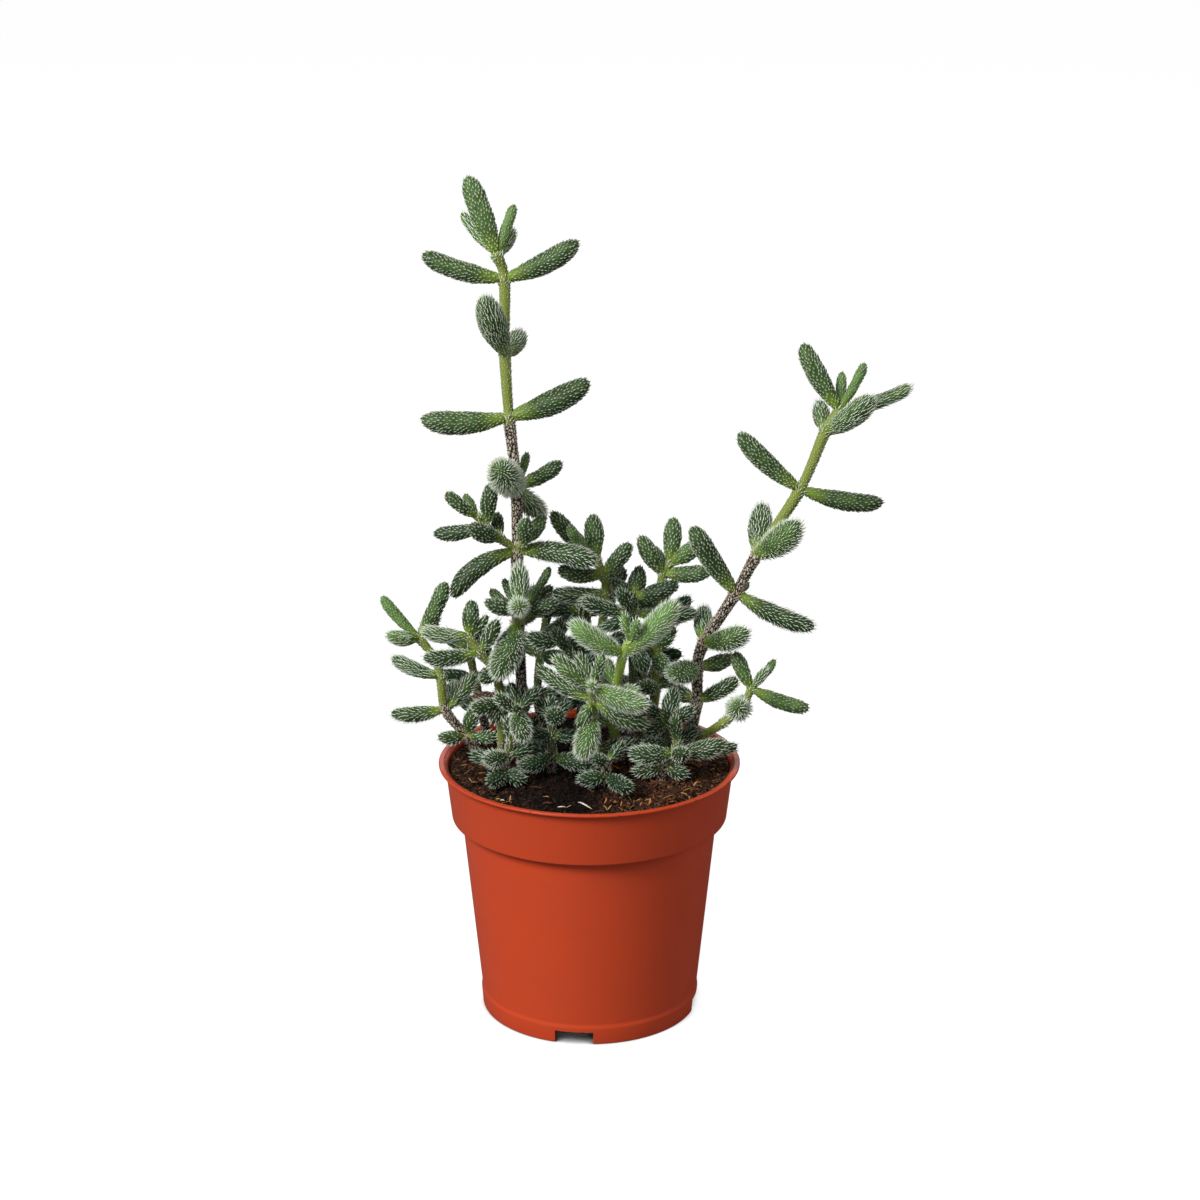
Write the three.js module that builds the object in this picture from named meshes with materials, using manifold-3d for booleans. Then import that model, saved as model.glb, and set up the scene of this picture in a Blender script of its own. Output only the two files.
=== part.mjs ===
// Pickle plant in a plastic nursery pot.
// Millimetres, +Z up. The front looks along -Y, and +X is to the right. The origin is on the surface
// that the pot stands on, under the middle of the plant's whole spread. The sizes and places below
// are measured from the middle of the pot's foot, and the last lines move the whole to the origin.
import * as THREE from 'three';
import { mergeVertices } from 'three/addons/utils/BufferGeometryUtils.js';
import Module from 'manifold-3d';

const wasm = await Module();
wasm.setup();

// Pot: a 9 cm nursery pot
const RIM_RADIUS = 45;
const POT_HEIGHT = 78;
const FOOT_RADIUS = 32.6;
const WALL = 0.9;
const LIP_HEIGHT = 0.8;
const LIP_BEND = 0.2;
const LIP_FLARE = 0.4;
const COLLAR_RADIUS = 42.7;
const COLLAR_FOOT_RADIUS = 41.2;
const COLLAR_FOOT_Z = 61;
const BODY_TOP_RADIUS = 38.2;
const FOOT_BAND_HEIGHT = 5.5;
const FOOT_STEP = 0.4;
const FOOT_WIDTH = 2.4;
const FLOOR_Z = 4.4;
const POT_SIDES = 36;
const NOTCH_COUNT = 4;
const NOTCH_WIDTH = 11.5;
const NOTCH_HEIGHT = 4;
const NOTCH_TURN = -8;
const DRAIN_COUNT = 6;
const DRAIN_RADIUS = 3.5;
const DRAIN_SIDES = 8;
const DRAIN_CIRCLE = 20;

// Soil
const SOIL_EDGE_Z = 76;
const SOIL_DOME = 0.1;
const SOIL_LUMP = 0.25;
const SOIL_RINGS = 3;
const FIT_GAP = 0.3;

// Stems and leaves
const STUB_DEPTH = 11;
const HOLE_GAP = 0.35;
const STEM_SIDES = 6;
const STEM_TAPER = 0.78;
const PAPILLA = 0.06;
const LEAF_FLATNESS = 0.94;
const NECK = 0.42;
const SWELL_END = 0.5;
const TIP_ROUNDNESS = 2.2;
const LEAF_RISE = -0.05;
const LEAF_START = 0.5;
const STOUT_SIDES = 6;
const LEAF_SIDES = 5;
const STOUT_LEAF = 5.8;
const SLIM_LEAF = 4.2;
const STOUT_RINGS = [0.07, 0.4, 0.7, 0.92];
const LEAF_RINGS = [0.1, 0.45, 0.86];
const SLIM_RINGS = [0.15, 0.82];

// Room that leaves keep to other stems, to the soil and to the rim
const CLEARANCE = 0.7;
const OWN_OVERLAP = -0.6;
const FREE_FROM = 0.35;
const BEADS = 9;
const STEM_BEAD_STEP = 2;
const SOIL_CLEAR_Z = 76.9;
const RIM_CLEAR_Z = 78.9;
const BEND_STEP = 9;
const BEND_WAYS = 8;
// Each entry: share of the leaf's length, and how far it may swing in degrees
const BEND_TRIES = [[1, 36], [0.88, 45], [0.75, 63], [0.6, 72], [0.45, 72]];

const ORANGE = 0xc94b2b;
const PEAT = 0x2c1a12;
const LEAF_GREEN = 0x4f6b3a;

const UP = new THREE.Vector3(0, 0, 1);
const AWAY = new THREE.Vector3(0, 1, 0);

// One shoot a row. 'knots' are the joints of the stem, [x, y, z], where the leaf pairs grow.
// A shoot with a root starts straight up out of the soil, and one without starts on another stem.
// A leaf is [knot, right, away, up, thickness] from its base to its tip, and a sixth number is
// how far it arches up. 'inner' leaves are the ones that other leaves hide from the front.
const SHOOTS = [
  { stem: 'tall_left_stem', radius: 1.8, root: true,
    knots: [[-20, 0, 77], [-20, 0, 99], [-21, -1, 121], [-21, -2, 144], [-21, -2, 163],
      [-23, 0, 183], [-24, 0, 202], [-24, 1, 223], [-26, 0, 230]],
    leaves: [[8, -8, 2, 22, 6.2], [8, 5, 3, 14, 3], [8, -10, 7, 11, 3], [8, 4, 14, 5, 4],
      [7, -23, 0, 7, 5.8], [7, 21, -2, 11, 6.2], [6, -5, -15, 19, 7.8], [6, 4, 18, 2, 5.8],
      [5, -25, -3, 0, 6.8], [5, 23, 2, 10, 7.2], [4, -4, -22, 12, 8], [4, 7, 14, -12, 5.8],
      [4, 13, 8, 5, 4.5], [4, 3, 8, 8, 2.5], [3, -19, -4, -13, 5.8, 2.5], [3, 23, -9, -1, 6.2, 1],
      [2, -5, -16, -13, 8], [1, -15, 2, -2, 3]],
    inner: [[2, 6, 20, 5, 7.2], [1, 10, -3, -2, 4.8]] },
  { stem: 'tall_left_stem', radius: 1.2, root: false,
    knots: [[-21, -2, 144], [-26, -4, 148], [-30, -5, 152], [-32, -6, 155]],
    leaves: [[3, -9, -3, 8, 4], [2, 2, -1, 13, 4.5], [2, -15, 2, -3, 4.5], [1, -8, -8, 6, 5.5],
      [3, -4, 3, 6, 3], [1, -1, 6, 6, 3.5]],
    inner: [] },
  { stem: 'tall_left_stem', radius: 1.2, root: false,
    knots: [[-21, -2, 144], [-19, -6, 147]],
    leaves: [[1, 1, -6, 9, 4.5], [1, 6, 5, 7, 4.5]],
    inner: [] },
  { stem: 'tall_left_stem', radius: 1.4, root: false,
    knots: [[-21, -1, 121], [-20, -9, 127], [-20, -15, 131]],
    leaves: [[2, 0, -9, 3, 4.8], [2, 0, 2, 12, 5.5], [1, -10, -2, 4, 4.5], [1, 11, -2, 4, 4.5],
      [1, -9, 9, 4, 3], [1, -5, 10, 7, 2.5], [1, 9, 9, 5, 3.5], [1, 8, 10, 10, 2.5]],
    inner: [] },
  { stem: 'tall_right_stem', radius: 1.8, root: true,
    knots: [[29, 5, 77], [32, 4, 95], [32, 3, 106], [34, 2, 114], [43, 0, 130], [49, -1, 142],
      [61, -2, 162], [68, -1, 179], [72, 0, 185]],
    leaves: [[8, -11, 2, 19, 5.8], [8, 7, 0, 14, 3], [8, 1, 6, 10, 3], [8, 21, 8, 5, 4],
      [7, 12, -12, 13, 6.8], [7, -1, 12, 6, 4.8], [6, -18, -1, 17, 5.8], [6, 24, 0, -4, 5.5],
      [5, 11, -12, 13, 8], [5, 2, 12, 12, 6.8], [4, -13, -3, 21, 6.2], [4, 23, -2, -10, 5.6],
      [4, 4, 4, 2, 2.5], [3, 12, -11, 7, 6.8], [3, 0, 10, 8, 5.8], [2, -8, -13, 3, 6.8],
      [2, 11, 4, 2, 4.8], [1, 12, -3, 8, 4.8]],
    inner: [[1, -8, 6, 3, 4.8]] },
  { stem: 'tall_right_stem', radius: 1.3, root: false,
    knots: [[30, 5, 83], [34, 2, 85], [40, -1, 90], [45, -2, 95], [48, -2, 101]],
    leaves: [[4, 17, -1, -6, 4.5], [4, -5, 1, 11, 4.5], [4, 4, -2, 7, 3], [4, 7, 3, 8, 2.5],
      [3, -2, -12, 5, 6.2], [3, 2, 12, -1, 3.5]],
    inner: [] },
  { stem: 'left_low_stem', radius: 1.5, root: true,
    knots: [[-33, 6, 77], [-37, 4, 84], [-43, 2, 93], [-44, 0, 104], [-46, 0, 110], [-50, 0, 116]],
    leaves: [[5, -11, 0, 13, 3.5], [5, 8, 1, 17, 4.8], [5, -9, -6, 3, 4.8], [3, -14, -3, 7, 4.5],
      [2, -16, -1, -1, 4.8], [2, 10, 2, 9, 4.8], [1, 3, -2, 10, 4.5], [1, -8, -4, 1, 4.5],
      [1, 9, -5, 2, 3.5]],
    inner: [[5, 4, 13, 4, 4.8], [4, 9, 6, -1, 4.5], [2, 2, 15, 3, 5.2]] },
  { stem: 'left_middle_stem', radius: 1.5, root: true,
    knots: [[-26, -2, 77], [-26, -5, 98], [-28, -8, 109], [-32, -10, 115], [-35, -10, 120]],
    leaves: [[4, -13, -4, 3, 4.8], [4, 1, 3, 10, 4.8], [3, -16, -5, 0, 4.8], [2, 0, 2, 15, 4.5],
      [4, 4, 8, 3, 3], [1, -8, -8, 1, 4.8], [3, 4, 8, 9, 4.8], [2, -3, -7, -1, 4.5],
      [1, -5, -5, -3, 3.5]],
    inner: [[1, 6, -8, -2, 4.8]] },
  { stem: 'centre_bright_stem', radius: 1.5, root: true,
    knots: [[9, 4, 77], [7, -2, 91], [8, -6, 102], [10, -11, 115], [12, -13, 119]],
    leaves: [[3, -15, -5, 11, 6.2], [3, 15, -5, 17, 6.8], [4, -2, -3, 10, 2.5], [4, 2, -6, 9, 2.5],
      [2, -3, 5, 8, 4], [2, 6, -10, 3, 4.8]],
    inner: [[1, -9, -4, 2, 4.8], [1, 9, 6, 3, 4.8]] },
  { stem: 'back_left_stem', radius: 1.5, root: true,
    knots: [[-2, 14, 77], [2, 12, 97], [3, 10, 110], [5, 7, 128], [4, 5, 134], [2, 5, 139]],
    leaves: [[4, 8, -1, 10, 5.2], [5, -1, 2, 13, 5.5], [5, -13, 4, 13, 5.2], [5, -8, -8, 12, 3],
      [4, -13, -4, 3, 5.5], [3, -16, 3, -1, 4.8], [3, -8, -2, -3, 3.5]],
    inner: [[3, 5, 11, 4, 5.5], [2, 10, 2, 4, 5.2], [2, -10, -2, 3, 5.2], [1, 2, 12, 3, 5.2],
      [1, -2, -11, 2, 4.8], [2, -1, -9, -3, 4.5]] },
  { stem: 'back_right_stem', radius: 1.5, root: true,
    knots: [[18, 17, 77], [20, 14, 96], [20, 12, 108], [20, 12, 118], [22, 10, 133], [24, 10, 136]],
    leaves: [[5, 1, 4, 13, 5.2], [4, -7, -2, 12, 5.5], [5, 9, -3, 8, 5.2], [4, 14, -4, 2, 5.2],
      [2, 5, -4, 9, 4.5]],
    inner: [[4, -3, 13, 4, 5.2], [3, 10, -1, 3, 5.2], [2, -10, 1, 4, 5.2], [1, 1, 12, 4, 5.2],
      [1, 9, -3, 3, 4.8], [2, 3, -9, -4, 4.8], [1, -4, -10, 4, 4.8]] },
  { stem: 'front_right_stem', radius: 1.5, root: true,
    knots: [[21, -11, 77], [22, -11, 80], [25, -11, 84], [26, -11, 87]],
    leaves: [[2, -13, -5, 2, 5.8], [2, 15, -2, 4, 5.2], [2, 3, -10, 4, 4.5], [3, -1, -1, 9, 3],
      [2, 19, 9, -1, 3.5], [1, -9, -4, 0, 4], [1, 7, -4, -1, 4]],
    inner: [] },
  { stem: 'low_middle_stem', radius: 1.4, root: true,
    knots: [[-11, -6, 77], [-11, -8, 82], [-11, -9, 89], [-11, -9, 95]],
    leaves: [[1, 13, -8, 1, 4.8], [1, -9, -8, 0, 4.8], [1, -6, 3, 3, 4], [2, 7, -2, 1, 4],
      [2, -6, -3, 2, 4], [3, 2, -9, 4, 5.5], [3, -4, 3, 4, 4.5], [3, 5, 3, 3, 3.5],
      [3, -1, -1, 6, 2.5]],
    inner: [] },
  { stem: 'centre_low_stem', radius: 1.5, root: true,
    knots: [[2, -4, 77], [1, -6, 83], [1, -10, 95], [1, -12, 101], [1, -15, 106]],
    leaves: [[4, 0, -6, 3, 2.5], [4, -11, -2, 10, 5.2], [4, 18, -5, -2, 6.2], [4, 3, -3, 11, 3],
      [3, -4, -3, -7, 3.5], [3, 16, -2, -7, 5.5], [2, -3, -12, -8, 6.8],
      [1, 11, 4, 2, 4.5], [3, -16, 6, 8, 4.5], [4, -4, 6, 8, 4]],
    inner: [[2, 2, 14, 5, 5.5]] },
  { stem: 'front_centre_stem', radius: 1.3, root: true,
    knots: [[4, -17, 77], [5, -18, 80], [5, -18, 84]],
    leaves: [[1, 8, -11, -1, 4.5], [1, -8, -4, 0, 4.5], [2, 5, 5, 4, 3.5], [2, -5, -5, 4, 4]],
    inner: [] },
  { stem: 'front_left_stem', radius: 1.4, root: true,
    knots: [[-25, -15, 77], [-25, -15, 80], [-24, -13, 84], [-23, -12, 88]],
    leaves: [[1, -3, -9, -1, 4.8], [1, 6, -5, -1, 4.5], [2, -6, -8, 2, 4.8], [2, 8, 4, 2, 4],
      [2, -11, 3, -1, 4], [3, 0, -1, 8, 2.5]],
    inner: [] },
  { stem: 'front_left_upper_stem', radius: 1.4, root: true,
    knots: [[-20, -5, 77], [-20, -7, 86], [-21, -12, 98]],
    leaves: [[2, 2, -9, -7, 5.8], [2, -6, -4, 6, 3.5], [2, 6, 2, 6, 3.5], [2, -2, 4, 7, 4.5],
      [2, 0, -6, 3, 2.5], [1, -5, -4, 8, 3], [1, 8, 6, 2, 4]],
    inner: [] },
  { stem: 'right_front_stem', radius: 1.4, root: true,
    knots: [[24, -2, 77], [24, -3, 84], [23, -5, 92]],
    leaves: [[2, 6, -8, 3, 4.8], [2, -6, -5, -2, 4.5], [2, 2, 3, 9, 5.2], [2, -3, 2, 7, 4],
      [2, 0, -3, 5, 2.5], [1, -7, -7, 2, 4.8], [1, 8, 0, 5, 4]],
    inner: [] },
  { stem: 'low_right_stem', radius: 1.3, root: true,
    knots: [[15, 1, 77], [15, 0, 84], [15, -1, 91]],
    leaves: [[2, -7, -4, 0, 4.8], [2, 6, -5, -1, 4.5], [2, 0, -8, 1, 4.5], [2, 2, 3, 6, 4],
      [1, -6, -8, 0, 4.5], [1, 4, -8, 0, 4.5]],
    inner: [] },
  { stem: 'centre_back_stem', radius: 1.5, root: true,
    knots: [[12, 16, 77], [13, 10, 96], [13, 5, 114], [13, 3, 123], [13, 2, 128]],
    leaves: [[4, 13, -2, 5, 5.2], [3, -4, -6, 9, 4], [4, -7, 0, 6, 4.8], [4, 2, 8, 7, 5.2],
      [3, -16, 2, 0, 4.5], [3, 19, 3, -1, 4.5]],
    inner: [[1, 9, 4, 4, 4.8], [1, -9, -2, 3, 4.8], [1, 1, 11, 4, 4.8], [1, 0, -11, 3, 4.8],
      [2, 4, -6, -8, 4.8], [2, -8, -4, -2, 4.8], [3, -9, -3, -4, 4.5]] },
  { stem: 'middle_stem', radius: 1.5, root: true,
    knots: [[-5, 4, 77], [-2, 1, 96], [-4, -2, 107], [-6, -3, 113], [-8, -3, 116]],
    leaves: [[4, -11, -2, 1, 5.2], [4, -1, 2, 6, 3.5], [3, -4, -4, 8, 4], [2, 6, -2, 5, 4],
      [1, -8, -3, 0, 4]],
    inner: [[1, 5, 6, 3, 4], [2, -7, -3, -4, 4.5], [3, 4, 6, 4, 4]] },
  { stem: 'middle_stem', radius: 1.1, root: false,
    knots: [[-2, 1, 96], [-2, 3, 111], [-3, 3, 124]],
    leaves: [[2, -11, -3, -8, 4.5], [2, -9, 1, 3, 4]],
    inner: [[1, 8, 5, 3, 4.8]] },
  { stem: 'rear_left_stem', radius: 1.5, root: true,
    knots: [[-14, 27, 77], [-16, 27, 88], [-15, 29, 101], [-13, 31, 113]],
    leaves: [],
    inner: [[3, -10, 3, 5, 5.5], [3, 9, 5, 5, 5.5], [3, 1, 10, 5, 5.5], [3, 0, -8, 7, 4.8],
      [2, -6, 12, 3, 5.8], [2, 8, -10, 3, 5.2], [1, -13, -2, 3, 5.5], [1, 12, 7, 2, 5.5]] },
  { stem: 'rear_middle_stem', radius: 1.5, root: true,
    knots: [[0, 31, 77], [1, 30, 89], [0, 29, 102], [-1, 28, 114]],
    leaves: [],
    inner: [[3, -9, -3, 6, 5.2], [3, 9, 3, 6, 5.2], [3, -3, 9, 6, 5.2], [2, 3, 12, 4, 5.8],
      [2, -3, -10, 4, 4.8], [1, -12, 4, 2, 5.5], [1, 12, -2, 3, 5.5]] },
  { stem: 'rear_right_stem', radius: 1.5, root: true,
    knots: [[14, 30, 77], [15, 31, 88], [18, 33, 100], [22, 34, 111]],
    leaves: [],
    inner: [[3, 9, 3, 6, 5.5], [3, -8, 6, 7, 5.5], [3, 3, 10, 4, 5.5], [3, 1, -8, 6, 4.8],
      [2, -10, 8, 3, 5.8], [2, 10, -6, 2, 5.2], [1, 6, 12, 2, 5.5], [1, -6, -10, 2, 5.5]] },
  { stem: 'rear_side_stem', radius: 1.5, root: true,
    knots: [[-31, 19, 77], [-33, 21, 86], [-35, 24, 95], [-37, 28, 103]],
    leaves: [],
    inner: [[3, -8, 5, 5, 5.2], [3, 3, 10, 5, 5.2], [3, 7, -2, 7, 4.8], [2, -10, -3, 3, 5.2],
      [2, 9, 7, 2, 5.2], [1, -7, 10, 1, 5.2], [1, 8, -9, 2, 4.8]] },
];

// Solids
function solidOf(geometry) {
  const bare = geometry.clone();
  bare.deleteAttribute('normal');
  bare.deleteAttribute('uv');
  const merged = mergeVertices(bare, 1e-4);
  const corners = merged.index.array;
  const kept = [];
  for (let i = 0; i < corners.length; i += 3) {
    const [a, b, c] = [corners[i], corners[i + 1], corners[i + 2]];
    if (a !== b && b !== c && a !== c) kept.push(a, b, c);
  }
  return new wasm.Manifold(new wasm.Mesh({
    numProp: 3,
    vertProperties: new Float32Array(merged.attributes.position.array),
    triVerts: new Uint32Array(kept),
  }));
}

function geometryOf(solid) {
  const mesh = solid.getMesh();
  const geometry = new THREE.BufferGeometry();
  geometry.setAttribute('position', new THREE.BufferAttribute(mesh.vertProperties, 3));
  geometry.setIndex(new THREE.BufferAttribute(mesh.triVerts, 1));
  geometry.computeVertexNormals();
  return geometry;
}

function revolve(profile, sides) {
  const points = profile.map(([r, z]) => new THREE.Vector2(r, z));
  return new THREE.LatheGeometry(points, sides).rotateX(Math.PI / 2);
}

// Pot
function makePot() {
  const innerFoot = FOOT_RADIUS - FOOT_WIDTH;
  const bandTop = FOOT_RADIUS + 0.5;
  const lipFoot = POT_HEIGHT - LIP_HEIGHT;
  const profile = [
    [0, FLOOR_Z],
    [innerFoot, FLOOR_Z],
    [innerFoot, 0],
    [FOOT_RADIUS, 0],
    [bandTop, FOOT_BAND_HEIGHT],
    [bandTop - FOOT_STEP, FOOT_BAND_HEIGHT + FOOT_STEP],
    [BODY_TOP_RADIUS, COLLAR_FOOT_Z - 1],
    [COLLAR_FOOT_RADIUS, COLLAR_FOOT_Z],
    [COLLAR_RADIUS, lipFoot - LIP_BEND],
    [RIM_RADIUS - LIP_BEND, lipFoot],
    [RIM_RADIUS, lipFoot + LIP_BEND],
    [RIM_RADIUS, POT_HEIGHT - LIP_BEND],
    [RIM_RADIUS - LIP_BEND, POT_HEIGHT],
    [COLLAR_RADIUS + LIP_FLARE, POT_HEIGHT],
    [COLLAR_RADIUS - WALL, POT_HEIGHT - 1],
    [COLLAR_FOOT_RADIUS - WALL, COLLAR_FOOT_Z + 1],
    [BODY_TOP_RADIUS - WALL, COLLAR_FOOT_Z - 1],
    [FOOT_RADIUS - WALL, FLOOR_Z + WALL],
    [0, FLOOR_Z + WALL],
  ];
  let pot = solidOf(revolve(profile, POT_SIDES));
  for (let i = 0; i < NOTCH_COUNT; i += 1) {
    const notch = new THREE.BoxGeometry(NOTCH_WIDTH, 3 * FOOT_WIDTH, 2 * NOTCH_HEIGHT)
      .translate(0, -FOOT_RADIUS, 0)
      .rotateZ(THREE.MathUtils.degToRad(NOTCH_TURN + i * 360 / NOTCH_COUNT));
    pot = pot.subtract(solidOf(notch));
  }
  for (let i = 0; i < DRAIN_COUNT; i += 1) {
    const turn = i * 2 * Math.PI / DRAIN_COUNT;
    const drain = new THREE.CylinderGeometry(DRAIN_RADIUS, DRAIN_RADIUS, 4 * WALL, DRAIN_SIDES)
      .rotateX(Math.PI / 2)
      .translate(DRAIN_CIRCLE * Math.cos(turn), DRAIN_CIRCLE * Math.sin(turn), FLOOR_Z);
    pot = pot.subtract(solidOf(drain));
  }
  return pot;
}

// Soil, with a straight hole for each rooted stem
function soilTop(x, y) {
  const reach = Math.hypot(x, y) / (COLLAR_RADIUS - WALL);
  const lumps = Math.sin(0.55 * x + 1.3) * Math.cos(0.47 * y - 0.4) + 0.5 * Math.sin(0.9 * (x - y));
  return SOIL_EDGE_Z + SOIL_DOME * (1 - reach * reach) + SOIL_LUMP * lumps * (1 - reach ** 4);
}

function makeSoil() {
  const edge = COLLAR_RADIUS - WALL - FIT_GAP;
  const profile = [[0, FLOOR_Z + WALL + FIT_GAP]];
  profile.push([FOOT_RADIUS - WALL - FIT_GAP, FLOOR_Z + WALL + FIT_GAP]);
  profile.push([BODY_TOP_RADIUS - WALL - FIT_GAP, COLLAR_FOOT_Z - 1]);
  profile.push([COLLAR_FOOT_RADIUS - WALL - FIT_GAP, COLLAR_FOOT_Z + 1.4]);
  for (let i = 0; i <= SOIL_RINGS; i += 1) profile.push([edge * (1 - i / SOIL_RINGS), SOIL_EDGE_Z]);
  const lump = revolve(profile, POT_SIDES);
  const at = lump.attributes.position;
  for (let i = 0; i < at.count; i += 1) {
    if (at.getZ(i) > SOIL_EDGE_Z - 1) at.setZ(i, soilTop(at.getX(i), at.getY(i)));
  }
  let soil = solidOf(lump);
  for (const shoot of SHOOTS.filter((s) => s.root)) {
    const [x, y] = shoot.knots[0];
    const depth = 2 * STUB_DEPTH;
    const hole = new THREE.CylinderGeometry(shoot.radius + HOLE_GAP, shoot.radius + HOLE_GAP, depth, STEM_SIDES)
      .rotateX(Math.PI / 2)
      .translate(x, y, SOIL_EDGE_Z - STUB_DEPTH - FIT_GAP + depth / 2);
    soil = soil.subtract(solidOf(hole));
  }
  return soil;
}

// Shape of a leaf: its half thickness, and its arched middle line
function leafRadius(leaf, t) {
  const swell = NECK + (1 - NECK) * Math.sin(Math.PI / 2 * Math.min(1, t / SWELL_END));
  const tipShare = Math.min(0.8, TIP_ROUNDNESS * leaf.thickness / 2 / leaf.length);
  const past = Math.max(0, (t - 1 + tipShare) / tipShare);
  return leaf.thickness / 2 * swell * Math.sqrt(Math.max(0, 1 - past * past));
}

function leafFrame(reach) {
  const along = reach.clone().normalize();
  const side = along.clone().cross(Math.abs(along.z) < 0.92 ? UP : AWAY).normalize();
  return { along, side, top: side.clone().cross(along) };
}

function leafPoint(leaf, t) {
  return leaf.base.clone()
    .addScaledVector(leaf.along, leaf.length * t)
    .addScaledVector(leaf.top, 4 * leaf.arch * t * (1 - t));
}

function makeLeafPlan(shoot, row) {
  const [knot, right, away, up, thickness, arch] = row;
  const reach = new THREE.Vector3(right, away, up);
  const frame = leafFrame(reach);
  const start = LEAF_START * shoot.radius;
  const base = new THREE.Vector3(...shoot.knots[knot]).addScaledVector(frame.along, start);
  return {
    stem: shoot.stem, base, length: reach.length() - start, thickness,
    arch: arch ?? LEAF_RISE * Math.hypot(right, away), ...frame,
  };
}

function bent(leaf, share, swing, way) {
  const turn = 2 * Math.PI * way / BEND_WAYS;
  const lean = Math.tan(THREE.MathUtils.degToRad(swing));
  const along = leaf.along.clone()
    .addScaledVector(leaf.side, lean * Math.cos(turn))
    .addScaledVector(leaf.top, lean * Math.sin(turn))
    .normalize();
  return {
    ...leaf, length: leaf.length * share, thickness: leaf.thickness * (0.5 + 0.5 * share),
    arch: leaf.arch * share, ...leafFrame(along),
  };
}

// Beads along a leaf or a stem stand for it while room is looked for
function leafBeads(leaf) {
  const beads = [];
  for (let i = 0; i < BEADS; i += 1) {
    const t = (i + 0.5) / BEADS;
    beads.push({ stem: leaf.stem, at: leafPoint(leaf, t), radius: leafRadius(leaf, t), t });
  }
  return beads;
}

function stemBeads(shoot) {
  const beads = [];
  const knots = shoot.knots.map((k) => new THREE.Vector3(...k));
  for (let i = 1; i < knots.length; i += 1) {
    const steps = Math.ceil(knots[i].distanceTo(knots[i - 1]) / STEM_BEAD_STEP);
    for (let j = 0; j < steps; j += 1) {
      beads.push({ stem: shoot.stem, at: knots[i - 1].clone().lerp(knots[i], j / steps),
        radius: shoot.radius, t: 0 });
    }
  }
  return beads;
}

function lowestAt(bead) {
  const out = Math.hypot(bead.at.x, bead.at.y);
  if (out - bead.radius > RIM_RADIUS + CLEARANCE) return -Infinity;
  return out + bead.radius > COLLAR_FOOT_RADIUS ? RIM_CLEAR_Z : SOIL_CLEAR_Z;
}

function isClear(leaf, placed) {
  for (const bead of leafBeads(leaf)) {
    if (bead.at.z - bead.radius < lowestAt(bead)) return false;
    for (const other of placed) {
      const own = other.stem === bead.stem;
      if (own && (bead.t < FREE_FROM || other.t < FREE_FROM)) continue;
      const room = bead.radius + other.radius + (own ? OWN_OVERLAP : CLEARANCE);
      if (bead.at.distanceToSquared(other.at) < room * room) return false;
    }
  }
  return true;
}

function settle(leaf, placed) {
  for (const [share, widest] of BEND_TRIES) {
    for (let swing = 0; swing <= widest; swing += BEND_STEP) {
      for (let way = 0; way < (swing ? BEND_WAYS : 1); way += 1) {
        const tried = bent(leaf, share, swing, way);
        if (isClear(tried, placed)) return tried;
      }
    }
  }
  return null;
}

function settleAll() {
  const placed = SHOOTS.flatMap(stemBeads);
  const leaves = [];
  for (const kind of ['leaves', 'inner']) {
    for (const shoot of SHOOTS) {
      for (const row of shoot[kind]) {
        const leaf = settle(makeLeafPlan(shoot, row), placed);
        if (leaf) {
          leaves.push(leaf);
          placed.push(...leafBeads(leaf));
        }
      }
    }
  }
  return leaves;
}

// Papillae are raised on every other corner of a leaf or stem
function raised(ring, corner) {
  return 1 + PAPILLA * ((ring + corner) % 2 ? 1 : -1);
}

function makeLeaf(leaf) {
  let stations = LEAF_RINGS;
  if (leaf.thickness >= STOUT_LEAF) stations = STOUT_RINGS;
  if (leaf.thickness < SLIM_LEAF) stations = SLIM_RINGS;
  const profile = [[0, 0], ...stations.map((t) => [leafRadius(leaf, t), t]), [0, 1]];
  const sides = leaf.thickness >= STOUT_LEAF ? STOUT_SIDES : LEAF_SIDES;
  const blank = new THREE.LatheGeometry(profile.map(([r, t]) => new THREE.Vector2(r, t)), sides);
  const at = blank.attributes.position;
  for (let i = 0; i < at.count; i += 1) {
    const relief = raised(i % profile.length, Math.floor(i / profile.length) % sides);
    const point = leafPoint(leaf, at.getY(i))
      .addScaledVector(leaf.side, at.getX(i) * relief)
      .addScaledVector(leaf.top, at.getZ(i) * relief * LEAF_FLATNESS);
    at.setXYZ(i, point.x, point.y, point.z);
  }
  return solidOf(blank);
}

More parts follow.
